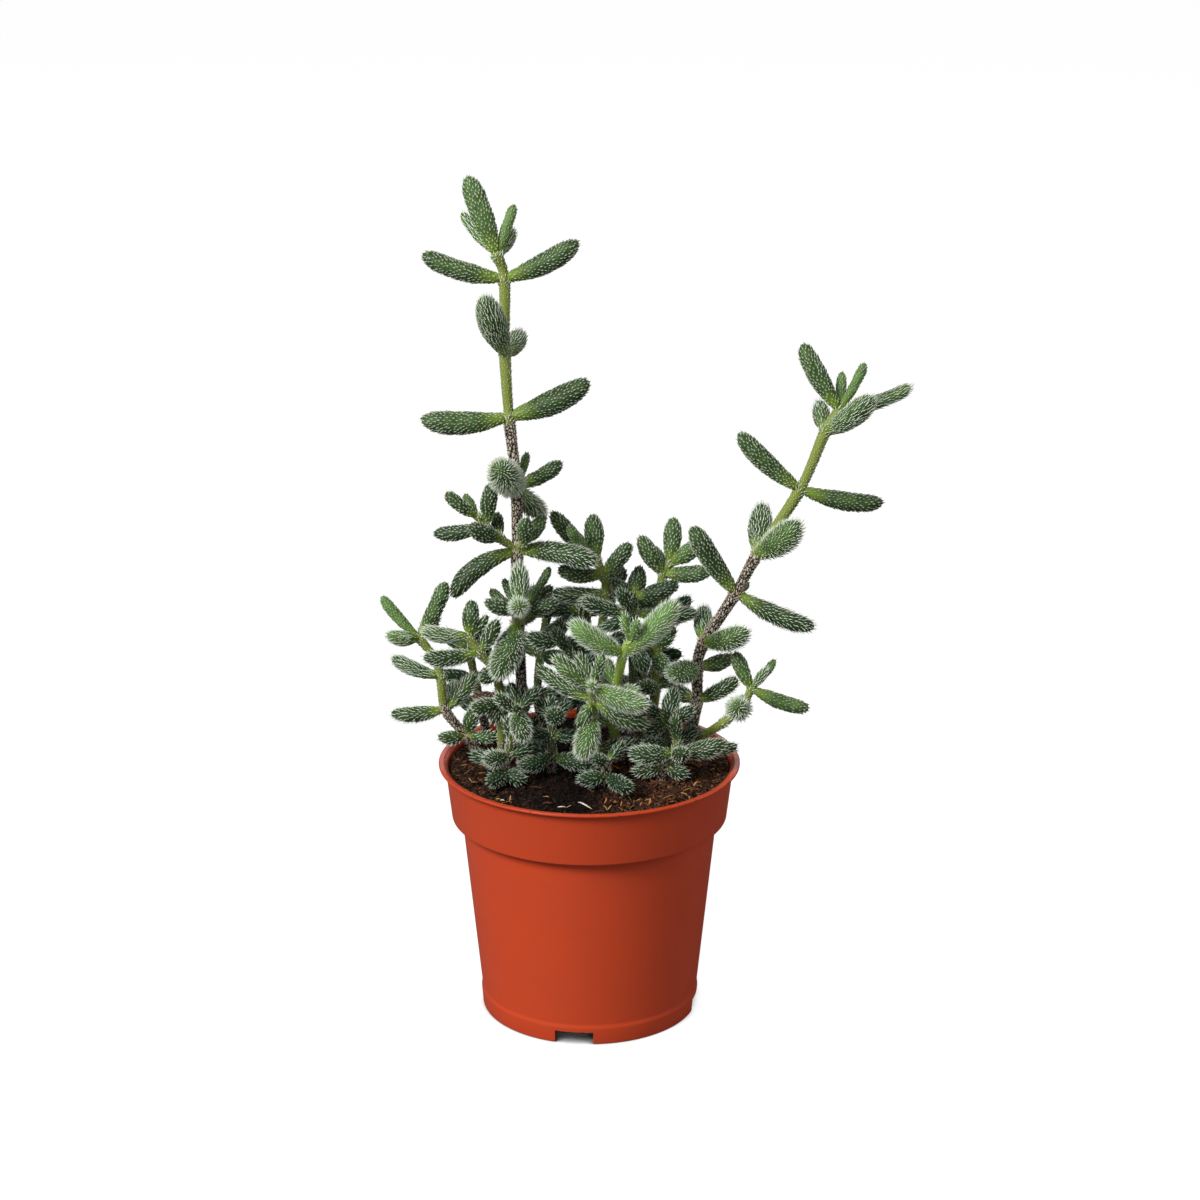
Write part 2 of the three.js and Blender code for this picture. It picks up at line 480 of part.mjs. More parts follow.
// A stem is one swept body through its knots
function makeStem(shoot) {
  const line = shoot.knots.map((k) => new THREE.Vector3(...k));
  if (shoot.root) {
    line.unshift(line[0].clone().setZ(SOIL_EDGE_Z));
    line.unshift(line[0].clone().setZ(SOIL_EDGE_Z - STUB_DEPTH));
  }
  const tipWay = line.at(-1).clone().sub(line.at(-2)).normalize();
  line.push(line.at(-1).clone().addScaledVector(tipWay, shoot.radius));
  const last = line.length - 1;
  const profile = [[0, 0], ...line.map((_, i) => [1, i]), [0, last]];
  const blank = new THREE.LatheGeometry(profile.map(([r, i]) => new THREE.Vector2(r, i)), STEM_SIDES);
  const at = blank.attributes.position;
  for (let i = 0; i < at.count; i += 1) {
    const ring = Math.round(at.getY(i));
    const next = line[Math.min(ring + 1, last)];
    const before = line[Math.max(ring - 1, 0)];
    const along = next.clone().sub(before).normalize();
    const right = AWAY.clone().cross(along).normalize();
    const away = along.clone().cross(right);
    const buried = shoot.root && ring < 2;
    const taper = buried ? 1 : THREE.MathUtils.lerp(1, STEM_TAPER, ring / last);
    const tip = ring === last ? 0.5 : 1;
    const relief = buried ? 1 : raised(ring, Math.floor(i / profile.length));
    const scale = shoot.radius * taper * tip * relief;
    const point = line[ring].clone()
      .addScaledVector(right, at.getX(i) * scale)
      .addScaledVector(away, -at.getZ(i) * scale);
    at.setXYZ(i, point.x, point.y, point.z);
  }
  return solidOf(blank);
}

function material(color, roughness) {
  return new THREE.MeshStandardMaterial({ color, roughness, metalness: 0 });
}

function addPart(group, name, solid, finish) {
  const mesh = new THREE.Mesh(geometryOf(solid), finish);
  mesh.name = name;
  group.add(mesh);
}

const plant = new THREE.Group();
addPart(plant, 'pot', makePot(), material(ORANGE, 0.5));
addPart(plant, 'soil', makeSoil(), material(PEAT, 1));

const settled = settleAll();
for (const name of new Set(SHOOTS.map((s) => s.stem))) {
  const pieces = SHOOTS.filter((s) => s.stem === name).map(makeStem);
  pieces.push(...settled.filter((leaf) => leaf.stem === name).map(makeLeaf));
  addPart(plant, name, pieces.reduce((all, piece) => all.add(piece)), material(LEAF_GREEN, 0.7));
}

const spread = new THREE.Box3().setFromObject(plant).getCenter(new THREE.Vector3());
plant.position.set(-spread.x, -spread.y, 0);

export default plant;
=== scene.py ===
import math

import bpy
import numpy as np
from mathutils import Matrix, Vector


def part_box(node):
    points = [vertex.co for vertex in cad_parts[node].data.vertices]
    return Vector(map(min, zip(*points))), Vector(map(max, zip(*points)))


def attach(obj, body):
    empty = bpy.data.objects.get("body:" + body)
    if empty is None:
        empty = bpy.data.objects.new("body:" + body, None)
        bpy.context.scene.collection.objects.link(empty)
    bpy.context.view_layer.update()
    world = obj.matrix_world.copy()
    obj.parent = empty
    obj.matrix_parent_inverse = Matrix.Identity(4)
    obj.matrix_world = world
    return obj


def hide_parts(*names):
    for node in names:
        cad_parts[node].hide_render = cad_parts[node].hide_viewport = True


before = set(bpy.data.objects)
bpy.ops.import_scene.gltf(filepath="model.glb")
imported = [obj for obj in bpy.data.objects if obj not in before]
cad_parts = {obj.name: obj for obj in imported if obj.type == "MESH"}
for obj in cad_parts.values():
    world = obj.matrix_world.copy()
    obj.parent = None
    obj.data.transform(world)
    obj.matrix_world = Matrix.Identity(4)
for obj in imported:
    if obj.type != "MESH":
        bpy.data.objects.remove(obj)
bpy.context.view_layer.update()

MM = 0.001
pot_low, pot_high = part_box("pot")
POT_AXIS = np.array([(pot_low.x + pot_high.x) / 2 / MM, (pot_low.y + pot_high.y) / 2 / MM, 0])

# Camera, fitted to the ellipses of the pot's rim and foot
LENS, SENSOR = 84, 36
NEAREST_SEEN, FURTHEST_SEEN = 0.01, 50
CAMERA_AT = (3.18, -783.4, 377.6)
CAMERA_DIP = 17.68

# Studio, in metres and watts
LIT_POINT = (-0.016, 0, 0.11)
LIGHTS = {
    "key": dict(at=(-0.92, -0.94, 1.15), size=0.6, power=28),
    "front_fill": dict(at=(-0.3, -1.6, 0.9), size=1.0, power=4),
    "right_fill": dict(at=(1.7, 0.2, 0.6), size=0.8, power=7),
    "back_fill": dict(at=(0.2, 1.6, 0.9), size=1.2, power=5),
}
FLOOR_REACH = 9
FLOOR_GREY = 0.2
FLOOR_GLOW = 0.95
SURROUND_LIGHT = 0.15
# How far the painted contact shadow on the floor reaches, in millimetres
PAINTED_SHADOW_REACH = 9

# Pot
RIM_RADIUS = 45
POT_HEIGHT = 78
FOOT_RADIUS = 32.6
WALL = 0.9
LIP_HEIGHT = 0.8
LIP_BEND = 0.2
LIP_FLARE = 0.4
COLLAR_RADIUS = 43.1
COLLAR_FOOT_RADIUS = 41.2
COLLAR_FOOT_Z = 61
BODY_TOP_RADIUS = 38.2
BODY_TOP_Z = 60
COLLAR_BEND = (37.9, 57)
FOOT_BEAD = (33.05, 5.2)
ABOVE_FOOT_BEAD = (32.76, 6.3)
EDGE_BEND = 0.35
SHARP_EDGE = 32
FLOOR_Z = 4.4
FOOT_WIDTH = 2.4
POT_SIDES = 160
NOTCH_COUNT, NOTCH_WIDTH, NOTCH_HEIGHT, NOTCH_TURN = 4, 11.5, 4, -8
DRAIN_COUNT, DRAIN_RADIUS, DRAIN_CIRCLE = 6, 3.5, 20
DRAIN_SIDES = 32

# Soil
SOIL_EDGE_Z = 76
SOIL_DOME = 0.1
SOIL_LUMP = 0.25
FIT_GAP = 0.3
SOIL_RINGS, SOIL_SIDES = 64, 220
STRAW_WIDTH = 0.65
STRAW_RINGS, STRAW_SIDES = 8, 6
STRAW_BOW, STRAW_ARCH = 0.1, 0.12

# How thickly chips and fibres are strewn, from left to right across the pot. The same values paint shade
# and light into the soil's colour: darker towards the middle, painted shade of the leaves above, and
# brighter on the right, painted light
STREWN_AND_PAINTED_LIGHT_ACROSS = (-31, -3, 22)
STREWN_AND_PAINTED_LIGHT = (0.75, 0.05, 2)

# Splinter, straws and curled dry scraps that lie on the peat: both ends, width, and shade from rust
# at 0 to straw at 0.85 and cream at 1
STRAWS = [
    ((-3.4, -34, 77.8), (1.2, -39.6, 77.6), 1.0, 1.0),
    ((-9.2, -37, 77.3), (-6.4, -37.6, 77.6), 0.9, 1.0),
    ((-6.6, -37.4, 77.3), (-4.8, -35.8, 77.5), 0.6, 0.85),
    ((5.2, -38.6, 77), (6.6, -37, 78.2), 0.7, 0.85),
    ((5.2, -38.6, 77), (4, -37.6, 78.2), 0.6, 0.85),
    ((4.4, -33.6, 77), (5, -31, 78), 0.8, 0.4),
    ((9, -35.6, 77), (9.4, -34.4, 78.4), 0.7, 0.3),
    ((14.6, -35, 77), (15.2, -34, 77.8), 0.8, 0.3),
    ((17.2, -34.6, 77), (17.6, -33, 78.8), 1.0, 0.4),
    ((21, -30, 77), (25, -28, 77.6), 0.5, 0.5),
    ((30.4, -19.6, 77), (31.6, -18, 78), 0.9, 0.6),
    ((27, -24, 77), (30.6, -22.4, 77.6), 0.5, 0.5),
    ((-35.4, -14, 77.4), (-34.4, -16.6, 77.2), 0.6, 0.8),
    ((-34.8, -17, 77.2), (-32.6, -17.8, 77.4), 0.5, 0.7),
    ((-27, -31, 77.4), (-25.4, -31.8, 77.8), 0.8, 0.85),
    ((-25.6, -31.4, 77.2), (-24.2, -33, 77.8), 0.9, 1.0),
    ((-23, -32, 77), (-22.6, -31, 78.8), 0.6, 0.8),
    ((-12.6, -28, 77), (-11.4, -30.4, 77.8), 0.5, 0.6),
    ((-13.6, -29.6, 77.6), (-11.4, -30.4, 77.8), 0.4, 0.6),
    ((-17.4, -7, 80.4), (-13.4, -8.4, 81), 1.6, 0.9),
    ((-16.6, -8.6, 79.4), (-12.8, -9.4, 79), 1.2, 0.5),
]

# Leaves: their shape, and the room that they keep
STUB_DEPTH = 11
STEM_TAPER = 0.78
LEAF_FLATNESS = 0.94
NECK = 0.42
SWELL_END = 0.5
TIP_ROUNDNESS = 2.2
LEAF_RISE = -0.05
LEAF_START = 0.5
CLEARANCE = 0.7
OWN_OVERLAP = -0.6
FREE_FROM = 0.35
BEADS = 9
STEM_BEAD_STEP = 2
SOIL_CLEAR_Z = 76.9
RIM_CLEAR_Z = 78.9
BEND_STEP = 9
BEND_WAYS = 8
BEND_TRIES = [(1, 36), (0.88, 45), (0.75, 63), (0.6, 72), (0.45, 72)]

# How each look of skin is set with papillae and their bristles. Gap, length, foot, shoulder and width
# are in millimetres, lay is how flat the bristles lie from 0 to 1, and foot share, bow and spread are
# shares of the length.
BRISTLE_SIZES = ("Gap", "Length", "Foot", "Shoulder", "Width", "Foot_Share", "Lay", "Bow", "Segments",
                 "Spread")
BRISTLES = {
    "studded": (0.8, 1.0, 0.46, 0.34, 0.17, 0.4, 0.45, 0.45, 3, 0.1),
    "silky": (0.68, 2.0, 0.32, 0.2, 0.17, 0.12, 0.66, 0.22, 3, 0.1),
    "shaggy": (0.78, 1.75, 0.36, 0.19, 0.16, 0.18, 0.44, 0.3, 3, 0.16),
    "woolly": (0.68, 2.1, 0.32, 0.19, 0.17, 0.14, 0.42, 0.3, 3, 0.14),
    "starry": (0.6, 2.1, 0.34, 0.21, 0.2, 0.14, 0.25, 0.2, 3, 0.12),
    "young": (0.64, 0.9, 0.28, 0.2, 0.15, 0.25, 0.5, 0.3, 2, 0.14),
    "dead": (0.7, 0.8, 0.28, 0.12, 0.1, 0.2, 0.4, 0.2, 2, 0.3),
    "stem": (0.66, 1.0, 0.26, 0.19, 0.16, 0.3, 0.4, 0.3, 2, 0.2),
}
REAR_GAP = 1.4
LOOK_NUMBER = {look: number for number, look in enumerate(BRISTLES)}

# How much brighter than its shoot's a leaf's green is by its look, and how white its bristles are
BRIGHTER = {"silky": 0.05, "woolly": 0.12, "starry": 0.15, "young": 0.2}
PALENESS = {"studded": 0.5, "young": 0.5, "stem": 0.8}
TIP_BRIGHTER = 0.15
STEM_BRIGHTER = 0.25
TINT_SPREAD = 0.06

# Skins: how uneven a leaf's girth is, how shrivelled a dead leaf, and how hairy a stem
LEAF_WAVE = 0.03
DEAD_SWELL = 1.3
DEAD_WRINKLES, WRINKLE_DEPTH = 30, 0.12
STEM_HAIR, KNOT_HAIR = 0.75, 0.9
BLUNT_TIP = 0.15
LEAF_COLUMNS, YOUNG_COLUMNS = 14, 10
LEAF_SAMPLES = 300
CURVE_STEPS = 24
LEAST_RINGS = 6
SKIN_PITCH = 0.9
UNEVENNESS = 0.06
SHAGGY_BELOW = 128
STEM_PITCH = 0.8
STEM_COLUMNS = 12
BRISTLE_SINK = 0.05
BRISTLE_SIDES = 3
KNOT_REACH = 1.4
KNOT_SWELL = 0.12
INTERNODE_TAPER = 0.13
WOODY_BELOW = 84
BARK_FADE = 8
YOUNG_UNDER = 3.2


def shoot_of(stem, radius, tint, knots, leaves=(), inner=(), root=True, woody=WOODY_BELOW):
    """One shoot. tint is how bright its green is, and partly painted shade: it is set low for the
    low and inner shoots, which darkens their leaves, stems and bristles. root whether it comes out of the
    soil, and woody the height that its bark reaches. knots are the joints of the stem, where the leaf
    pairs grow. A leaf is knot, right, away, up and thickness, then how far it arches up if it differs,
    then its look if it differs. inner leaves are the ones that other leaves hide from the front."""
    return dict(stem=stem, radius=radius, tint=tint, knots=knots, leaves=leaves, inner=inner, root=root,
                woody=woody)


SHOOTS = [
  shoot_of("tall_left_stem", 1.8, 0.42, woody=181,
    knots=[[-20, 0, 77], [-20, 0, 99], [-21, -1, 121], [-21, -2, 144], [-21, -2, 163], [-23, 0, 183],
      [-24, 0, 202], [-24, 1, 223], [-26, 0, 230]],
    leaves=[[8, -8, 2, 22, 6.2], [8, 5, 3, 14, 3, "young"], [8, -10, 7, 11, 3, "silky"],
      [8, 4, 14, 5, 4, "silky"], [7, -23, 0, 7, 5.8], [7, 21, -2, 11, 6.2],
      [6, -5, -15, 19, 7.8, "silky"], [6, 4, 18, 2, 5.8, "silky"], [5, -25, -3, 0, 6.8],
      [5, 23, 2, 10, 7.2], [4, -4, -22, 12, 8, "starry"], [4, 7, 14, -12, 5.8, "woolly"],
      [4, 13, 8, 5, 4.5], [4, 3, 8, 8, 2.5], [3, -19, -4, -13, 5.8, 2.5],
      [3, 23, -9, -1, 6.2, 1, "shaggy"], [2, -5, -16, -13, 8, "woolly"], [1, -15, 2, -2, 3, "dead"]],
    inner=[[2, 6, 20, 5, 7.2], [1, 10, -3, -2, 4.8]]),
  shoot_of("tall_left_stem", 1.2, 0.35, root=False,
    knots=[[-21, -2, 144], [-26, -4, 148], [-30, -5, 152], [-32, -6, 155]],
    leaves=[[3, -9, -3, 8, 4], [2, 2, -1, 13, 4.5], [2, -15, 2, -3, 4.5], [1, -8, -8, 6, 5.5],
      [3, -4, 3, 6, 3], [1, -1, 6, 6, 3.5]]),
  shoot_of("tall_left_stem", 1.2, 0.4, root=False,
    knots=[[-21, -2, 144], [-19, -6, 147]],
    leaves=[[1, 1, -6, 9, 4.5], [1, 6, 5, 7, 4.5]]),
  shoot_of("tall_left_stem", 1.4, 0.3, root=False,
    knots=[[-21, -1, 121], [-20, -9, 127], [-20, -15, 131]],
    leaves=[[2, 0, -9, 3, 4.8, "starry"], [2, 0, 2, 12, 5.5, "silky"], [1, -10, -2, 4, 4.5],
      [1, 11, -2, 4, 4.5], [1, -9, 9, 4, 3], [1, -5, 10, 7, 2.5], [1, 9, 9, 5, 3.5], [1, 8, 10, 10, 2.5]]),
  shoot_of("tall_right_stem", 1.8, 0.42, woody=143,
    knots=[[29, 5, 77], [32, 4, 95], [32, 3, 106], [34, 2, 114], [43, 0, 130], [49, -1, 142],
      [61, -2, 162], [68, -1, 179], [72, 0, 185]],
    leaves=[[8, -11, 2, 19, 5.8], [8, 7, 0, 14, 3, "young"], [8, 1, 6, 10, 3, "young"],
      [8, 21, 8, 5, 4, "silky"], [7, 12, -12, 13, 6.8, "silky"], [7, -1, 12, 6, 4.8, "silky"],
      [6, -18, -1, 17, 5.8], [6, 24, 0, -4, 5.5], [5, 11, -12, 13, 8, "woolly"],
      [5, 2, 12, 12, 6.8, "silky"], [4, -13, -3, 21, 6.2], [4, 23, -2, -10, 5.6], [4, 4, 4, 2, 2.5],
      [3, 12, -11, 7, 6.8, "woolly"], [3, 0, 10, 8, 5.8, "silky"], [2, -8, -13, 3, 6.8, "woolly"],
      [2, 11, 4, 2, 4.8, "studded"], [1, 12, -3, 8, 4.8, "shaggy"]],
    inner=[[1, -8, 6, 3, 4.8]]),
  shoot_of("tall_right_stem", 1.3, 0.5, root=False,
    knots=[[30, 5, 83], [34, 2, 85], [40, -1, 90], [45, -2, 95], [48, -2, 101]],
    leaves=[[4, 17, -1, -6, 4.5, "studded"], [4, -5, 1, 11, 4.5, "studded"], [4, 4, -2, 7, 3, "silky"],
      [4, 7, 3, 8, 2.5, "young"], [3, -2, -12, 5, 6.2, "starry"], [3, 2, 12, -1, 3.5]]),
  shoot_of("left_low_stem", 1.5, 0.45, woody=95,
    knots=[[-33, 6, 77], [-37, 4, 84], [-43, 2, 93], [-44, 0, 104], [-46, 0, 110], [-50, 0, 116]],
    leaves=[[5, -11, 0, 13, 3.5, "young"], [5, 8, 1, 17, 4.8, "studded"], [5, -9, -6, 3, 4.8, "silky"],
      [3, -14, -3, 7, 4.5, "silky"], [2, -16, -1, -1, 4.8], [2, 10, 2, 9, 4.8], [1, 3, -2, 10, 4.5],
      [1, -8, -4, 1, 4.5], [1, 9, -5, 2, 3.5]],
    inner=[[5, 4, 13, 4, 4.8], [4, 9, 6, -1, 4.5], [2, 2, 15, 3, 5.2]]),
  shoot_of("left_middle_stem", 1.5, 0.32,
    knots=[[-26, -2, 77], [-26, -5, 98], [-28, -8, 109], [-32, -10, 115], [-35, -10, 120]],
    leaves=[[4, -13, -4, 3, 4.8, "silky"], [4, 1, 3, 10, 4.8, "studded"], [3, -16, -5, 0, 4.8],
      [2, 0, 2, 15, 4.5], [4, 4, 8, 3, 3], [1, -8, -8, 1, 4.8], [3, 4, 8, 9, 4.8],
      [2, -3, -7, -1, 4.5], [1, -5, -5, -3, 3.5]],
    inner=[[1, 6, -8, -2, 4.8]]),
  shoot_of("centre_bright_stem", 1.5, 0.74,
    knots=[[9, 4, 77], [7, -2, 91], [8, -6, 102], [10, -11, 115], [12, -13, 119]],
    leaves=[[3, -15, -5, 11, 6.2, "woolly"], [3, 15, -5, 17, 6.8, "woolly"], [4, -2, -3, 10, 2.5],
      [4, 2, -6, 9, 2.5], [2, -3, 5, 8, 4], [2, 6, -10, 3, 4.8]],
    inner=[[1, -9, -4, 2, 4.8], [1, 9, 6, 3, 4.8]]),
  shoot_of("back_left_stem", 1.5, 0.36,
    knots=[[-2, 14, 77], [2, 12, 97], [3, 10, 110], [5, 7, 128], [4, 5, 134], [2, 5, 139]],
    leaves=[[4, 8, -1, 10, 5.2], [5, -1, 2, 13, 5.5], [5, -13, 4, 13, 5.2], [5, -8, -8, 12, 3],
      [4, -13, -4, 3, 5.5], [3, -16, 3, -1, 4.8], [3, -8, -2, -3, 3.5]],
    inner=[[3, 5, 11, 4, 5.5], [2, 10, 2, 4, 5.2], [2, -10, -2, 3, 5.2], [1, 2, 12, 3, 5.2],
      [1, -2, -11, 2, 4.8], [2, -1, -9, -3, 4.5]]),
  shoot_of("back_right_stem", 1.5, 0.44,
    knots=[[18, 17, 77], [20, 14, 96], [20, 12, 108], [20, 12, 118], [22, 10, 133], [24, 10, 136]],
    leaves=[[5, 1, 4, 13, 5.2], [4, -7, -2, 12, 5.5], [5, 9, -3, 8, 5.2], [4, 14, -4, 2, 5.2],
      [2, 5, -4, 9, 4.5]],
    inner=[[4, -3, 13, 4, 5.2], [3, 10, -1, 3, 5.2], [2, -10, 1, 4, 5.2], [1, 1, 12, 4, 5.2],
      [1, 9, -3, 3, 4.8], [2, 3, -9, -4, 4.8], [1, -4, -10, 4, 4.8]]),
  shoot_of("front_right_stem", 1.5, 0.3,
    knots=[[21, -11, 77], [22, -11, 80], [25, -11, 84], [26, -11, 87]],
    leaves=[[2, -13, -5, 2, 5.8], [2, 15, -2, 4, 5.2], [2, 3, -10, 4, 4.5], [3, -1, -1, 9, 3],
      [2, 19, 9, -1, 3.5], [1, -9, -4, 0, 4], [1, 7, -4, -1, 4]]),
  shoot_of("low_middle_stem", 1.4, 0.1,
    knots=[[-11, -6, 77], [-11, -8, 82], [-11, -9, 89], [-11, -9, 95]],
    leaves=[[1, 13, -8, 1, 4.8], [1, -9, -8, 0, 4.8], [1, -6, 3, 3, 4], [2, 7, -2, 1, 4],
      [2, -6, -3, 2, 4], [3, 2, -9, 4, 5.5], [3, -4, 3, 4, 4.5], [3, 5, 3, 3, 3.5], [3, -1, -1, 6, 2.5]]),
  shoot_of("centre_low_stem", 1.5, 0.45,
    knots=[[2, -4, 77], [1, -6, 83], [1, -10, 95], [1, -12, 101], [1, -15, 106]],
    leaves=[[4, 0, -6, 3, 2.5, "starry"], [4, -11, -2, 10, 5.2], [4, 18, -5, -2, 6.2, "woolly"],
      [4, 3, -3, 11, 3], [3, -4, -3, -7, 3.5], [3, 16, -2, -7, 5.5], [2, -3, -12, -8, 6.8, "woolly"],
      [1, 11, 4, 2, 4.5], [3, -16, 6, 8, 4.5], [4, -4, 6, 8, 4]],
    inner=[[2, 2, 14, 5, 5.5]]),
  shoot_of("front_centre_stem", 1.3, 0.1,
    knots=[[4, -17, 77], [5, -18, 80], [5, -18, 84]],
    leaves=[[1, 8, -11, -1, 4.5], [1, -8, -4, 0, 4.5], [2, 5, 5, 4, 3.5], [2, -5, -5, 4, 4]]),
  shoot_of("front_left_stem", 1.4, 0.15,
    knots=[[-25, -15, 77], [-25, -15, 80], [-24, -13, 84], [-23, -12, 88]],
    leaves=[[1, -3, -9, -1, 4.8], [1, 6, -5, -1, 4.5], [2, -6, -8, 2, 4.8, "woolly"], [2, 8, 4, 2, 4],
      [2, -11, 3, -1, 4], [3, 0, -1, 8, 2.5]]),
  shoot_of("front_left_upper_stem", 1.4, 0.15,
    knots=[[-20, -5, 77], [-20, -7, 86], [-21, -12, 98]],
    leaves=[[2, 2, -9, -7, 5.8, "woolly"], [2, -6, -4, 6, 3.5], [2, 6, 2, 6, 3.5], [2, -2, 4, 7, 4.5],
      [2, 0, -6, 3, 2.5], [1, -5, -4, 8, 3], [1, 8, 6, 2, 4]]),
  shoot_of("right_front_stem", 1.4, 0.15,
    knots=[[24, -2, 77], [24, -3, 84], [23, -5, 92]],
    leaves=[[2, 6, -8, 3, 4.8], [2, -6, -5, -2, 4.5], [2, 2, 3, 9, 5.2], [2, -3, 2, 7, 4],
      [2, 0, -3, 5, 2.5], [1, -7, -7, 2, 4.8], [1, 8, 0, 5, 4]]),
  shoot_of("low_right_stem", 1.3, 0.05,
    knots=[[15, 1, 77], [15, 0, 84], [15, -1, 91]],
    leaves=[[2, -7, -4, 0, 4.8], [2, 6, -5, -1, 4.5], [2, 0, -8, 1, 4.5], [2, 2, 3, 6, 4],
      [1, -6, -8, 0, 4.5], [1, 4, -8, 0, 4.5]]),
  shoot_of("centre_back_stem", 1.5, 0.15,
    knots=[[12, 16, 77], [13, 10, 96], [13, 5, 114], [13, 3, 123], [13, 2, 128]],
    leaves=[[4, 13, -2, 5, 5.2], [3, -4, -6, 9, 4], [4, -7, 0, 6, 4.8], [4, 2, 8, 7, 5.2],
      [3, -16, 2, 0, 4.5], [3, 19, 3, -1, 4.5]],
    inner=[[1, 9, 4, 4, 4.8], [1, -9, -2, 3, 4.8], [1, 1, 11, 4, 4.8], [1, 0, -11, 3, 4.8],
      [2, 4, -6, -8, 4.8], [2, -8, -4, -2, 4.8], [3, -9, -3, -4, 4.5]]),
  shoot_of("middle_stem", 1.5, 0.05,
    knots=[[-5, 4, 77], [-2, 1, 96], [-4, -2, 107], [-6, -3, 113], [-8, -3, 116]],
    leaves=[[4, -11, -2, 1, 5.2], [4, -1, 2, 6, 3.5], [3, -4, -4, 8, 4], [2, 6, -2, 5, 4],
      [1, -8, -3, 0, 4]],
    inner=[[1, 5, 6, 3, 4], [2, -7, -3, -4, 4.5], [3, 4, 6, 4, 4]]),
  shoot_of("middle_stem", 1.1, 0.05, root=False,
    knots=[[-2, 1, 96], [-2, 3, 111], [-3, 3, 124]],
    leaves=[[2, -11, -3, -8, 4.5], [2, -9, 1, 3, 4]],
    inner=[[1, 8, 5, 3, 4.8]]),
  shoot_of("rear_left_stem", 1.5, 0.1,
    knots=[[-14, 27, 77], [-16, 27, 88], [-15, 29, 101], [-13, 31, 113]],
    inner=[[3, -10, 3, 5, 5.5], [3, 9, 5, 5, 5.5], [3, 1, 10, 5, 5.5], [3, 0, -8, 7, 4.8],
      [2, -6, 12, 3, 5.8], [2, 8, -10, 3, 5.2], [1, -13, -2, 3, 5.5], [1, 12, 7, 2, 5.5]]),
  shoot_of("rear_middle_stem", 1.5, 0.1,
    knots=[[0, 31, 77], [1, 30, 89], [0, 29, 102], [-1, 28, 114]],
    inner=[[3, -9, -3, 6, 5.2], [3, 9, 3, 6, 5.2], [3, -3, 9, 6, 5.2], [2, 3, 12, 4, 5.8],
      [2, -3, -10, 4, 4.8], [1, -12, 4, 2, 5.5], [1, 12, -2, 3, 5.5]]),
  shoot_of("rear_right_stem", 1.5, 0.1,
    knots=[[14, 30, 77], [15, 31, 88], [18, 33, 100], [22, 34, 111]],
    inner=[[3, 9, 3, 6, 5.5], [3, -8, 6, 7, 5.5], [3, 3, 10, 4, 5.5], [3, 1, -8, 6, 4.8],
      [2, -10, 8, 3, 5.8], [2, 10, -6, 2, 5.2], [1, 6, 12, 2, 5.5], [1, -6, -10, 2, 5.5]]),
  shoot_of("rear_side_stem", 1.5, 0.15,
    knots=[[-31, 19, 77], [-33, 21, 86], [-35, 24, 95], [-37, 28, 103]],
    inner=[[3, -8, 5, 5, 5.2], [3, 3, 10, 5, 5.2], [3, 7, -2, 7, 4.8], [2, -10, -3, 3, 5.2],
      [2, 9, 7, 2, 5.2], [1, -7, 10, 1, 5.2], [1, 8, -9, 2, 4.8]]),
]


# Placing the leaves, by the same rule as the solids
def leaf_radius(leaf, t):
    swell = NECK + (1 - NECK) * np.sin(np.pi / 2 * np.minimum(1, t / SWELL_END))
    tip_share = min(0.8, TIP_ROUNDNESS * leaf["thickness"] / 2 / leaf["length"])
    past = np.maximum(0, (t - 1 + tip_share) / tip_share)
    return leaf["thickness"] / 2 * swell * np.sqrt(np.maximum(0, 1 - past * past))


def leaf_frame(reach):
    along = reach / np.linalg.norm(reach)
    side = np.cross(along, (0, 0, 1) if abs(along[2]) < 0.92 else (0, 1, 0))
    side /= np.linalg.norm(side)
    return dict(along=along, side=side, top=np.cross(side, along))


def leaf_points(leaf, t):
    t = t[:, None]
    rise = 4 * leaf["arch"] * t * (1 - t)
    return leaf["base"] + leaf["along"] * leaf["length"] * t + leaf["top"] * rise


def leaf_plan(shoot, row):
    words = [v for v in row if isinstance(v, str)]
    numbers = [v for v in row if not isinstance(v, str)]
    reach = np.array(numbers[1:4], float)
    knot = np.array(shoot["knots"][numbers[0]], float)
    axes = leaf_frame(reach)
    start = LEAF_START * shoot["radius"]
    arch = numbers[5] if len(numbers) > 5 else LEAF_RISE * math.hypot(reach[0], reach[1])
    return dict(shoot=shoot, stem=shoot["stem"], base=knot + axes["along"] * start,
                length=np.linalg.norm(reach) - start, thickness=numbers[4], arch=arch,
                look=words[0] if words else None, place=numbers[0] / (len(shoot["knots"]) - 1), **axes)


def bent(leaf, share, swing, way):
    turn = 2 * math.pi * way / BEND_WAYS
    lean = math.tan(math.radians(swing))
    along = leaf["along"] + leaf["side"] * lean * math.cos(turn) + leaf["top"] * lean * math.sin(turn)
    return {**leaf, "length": leaf["length"] * share, "thickness": leaf["thickness"] * (0.5 + 0.5 * share),
            "arch": leaf["arch"] * share, **leaf_frame(along)}


def stem_beads(shoot):
    knots = np.array(shoot["knots"], float)
    beads = []
    for a, b in zip(knots, knots[1:]):
        steps = math.ceil(np.linalg.norm(b - a) / STEM_BEAD_STEP)
        beads += [a + (b - a) * j / steps for j in range(steps)]
    return beads


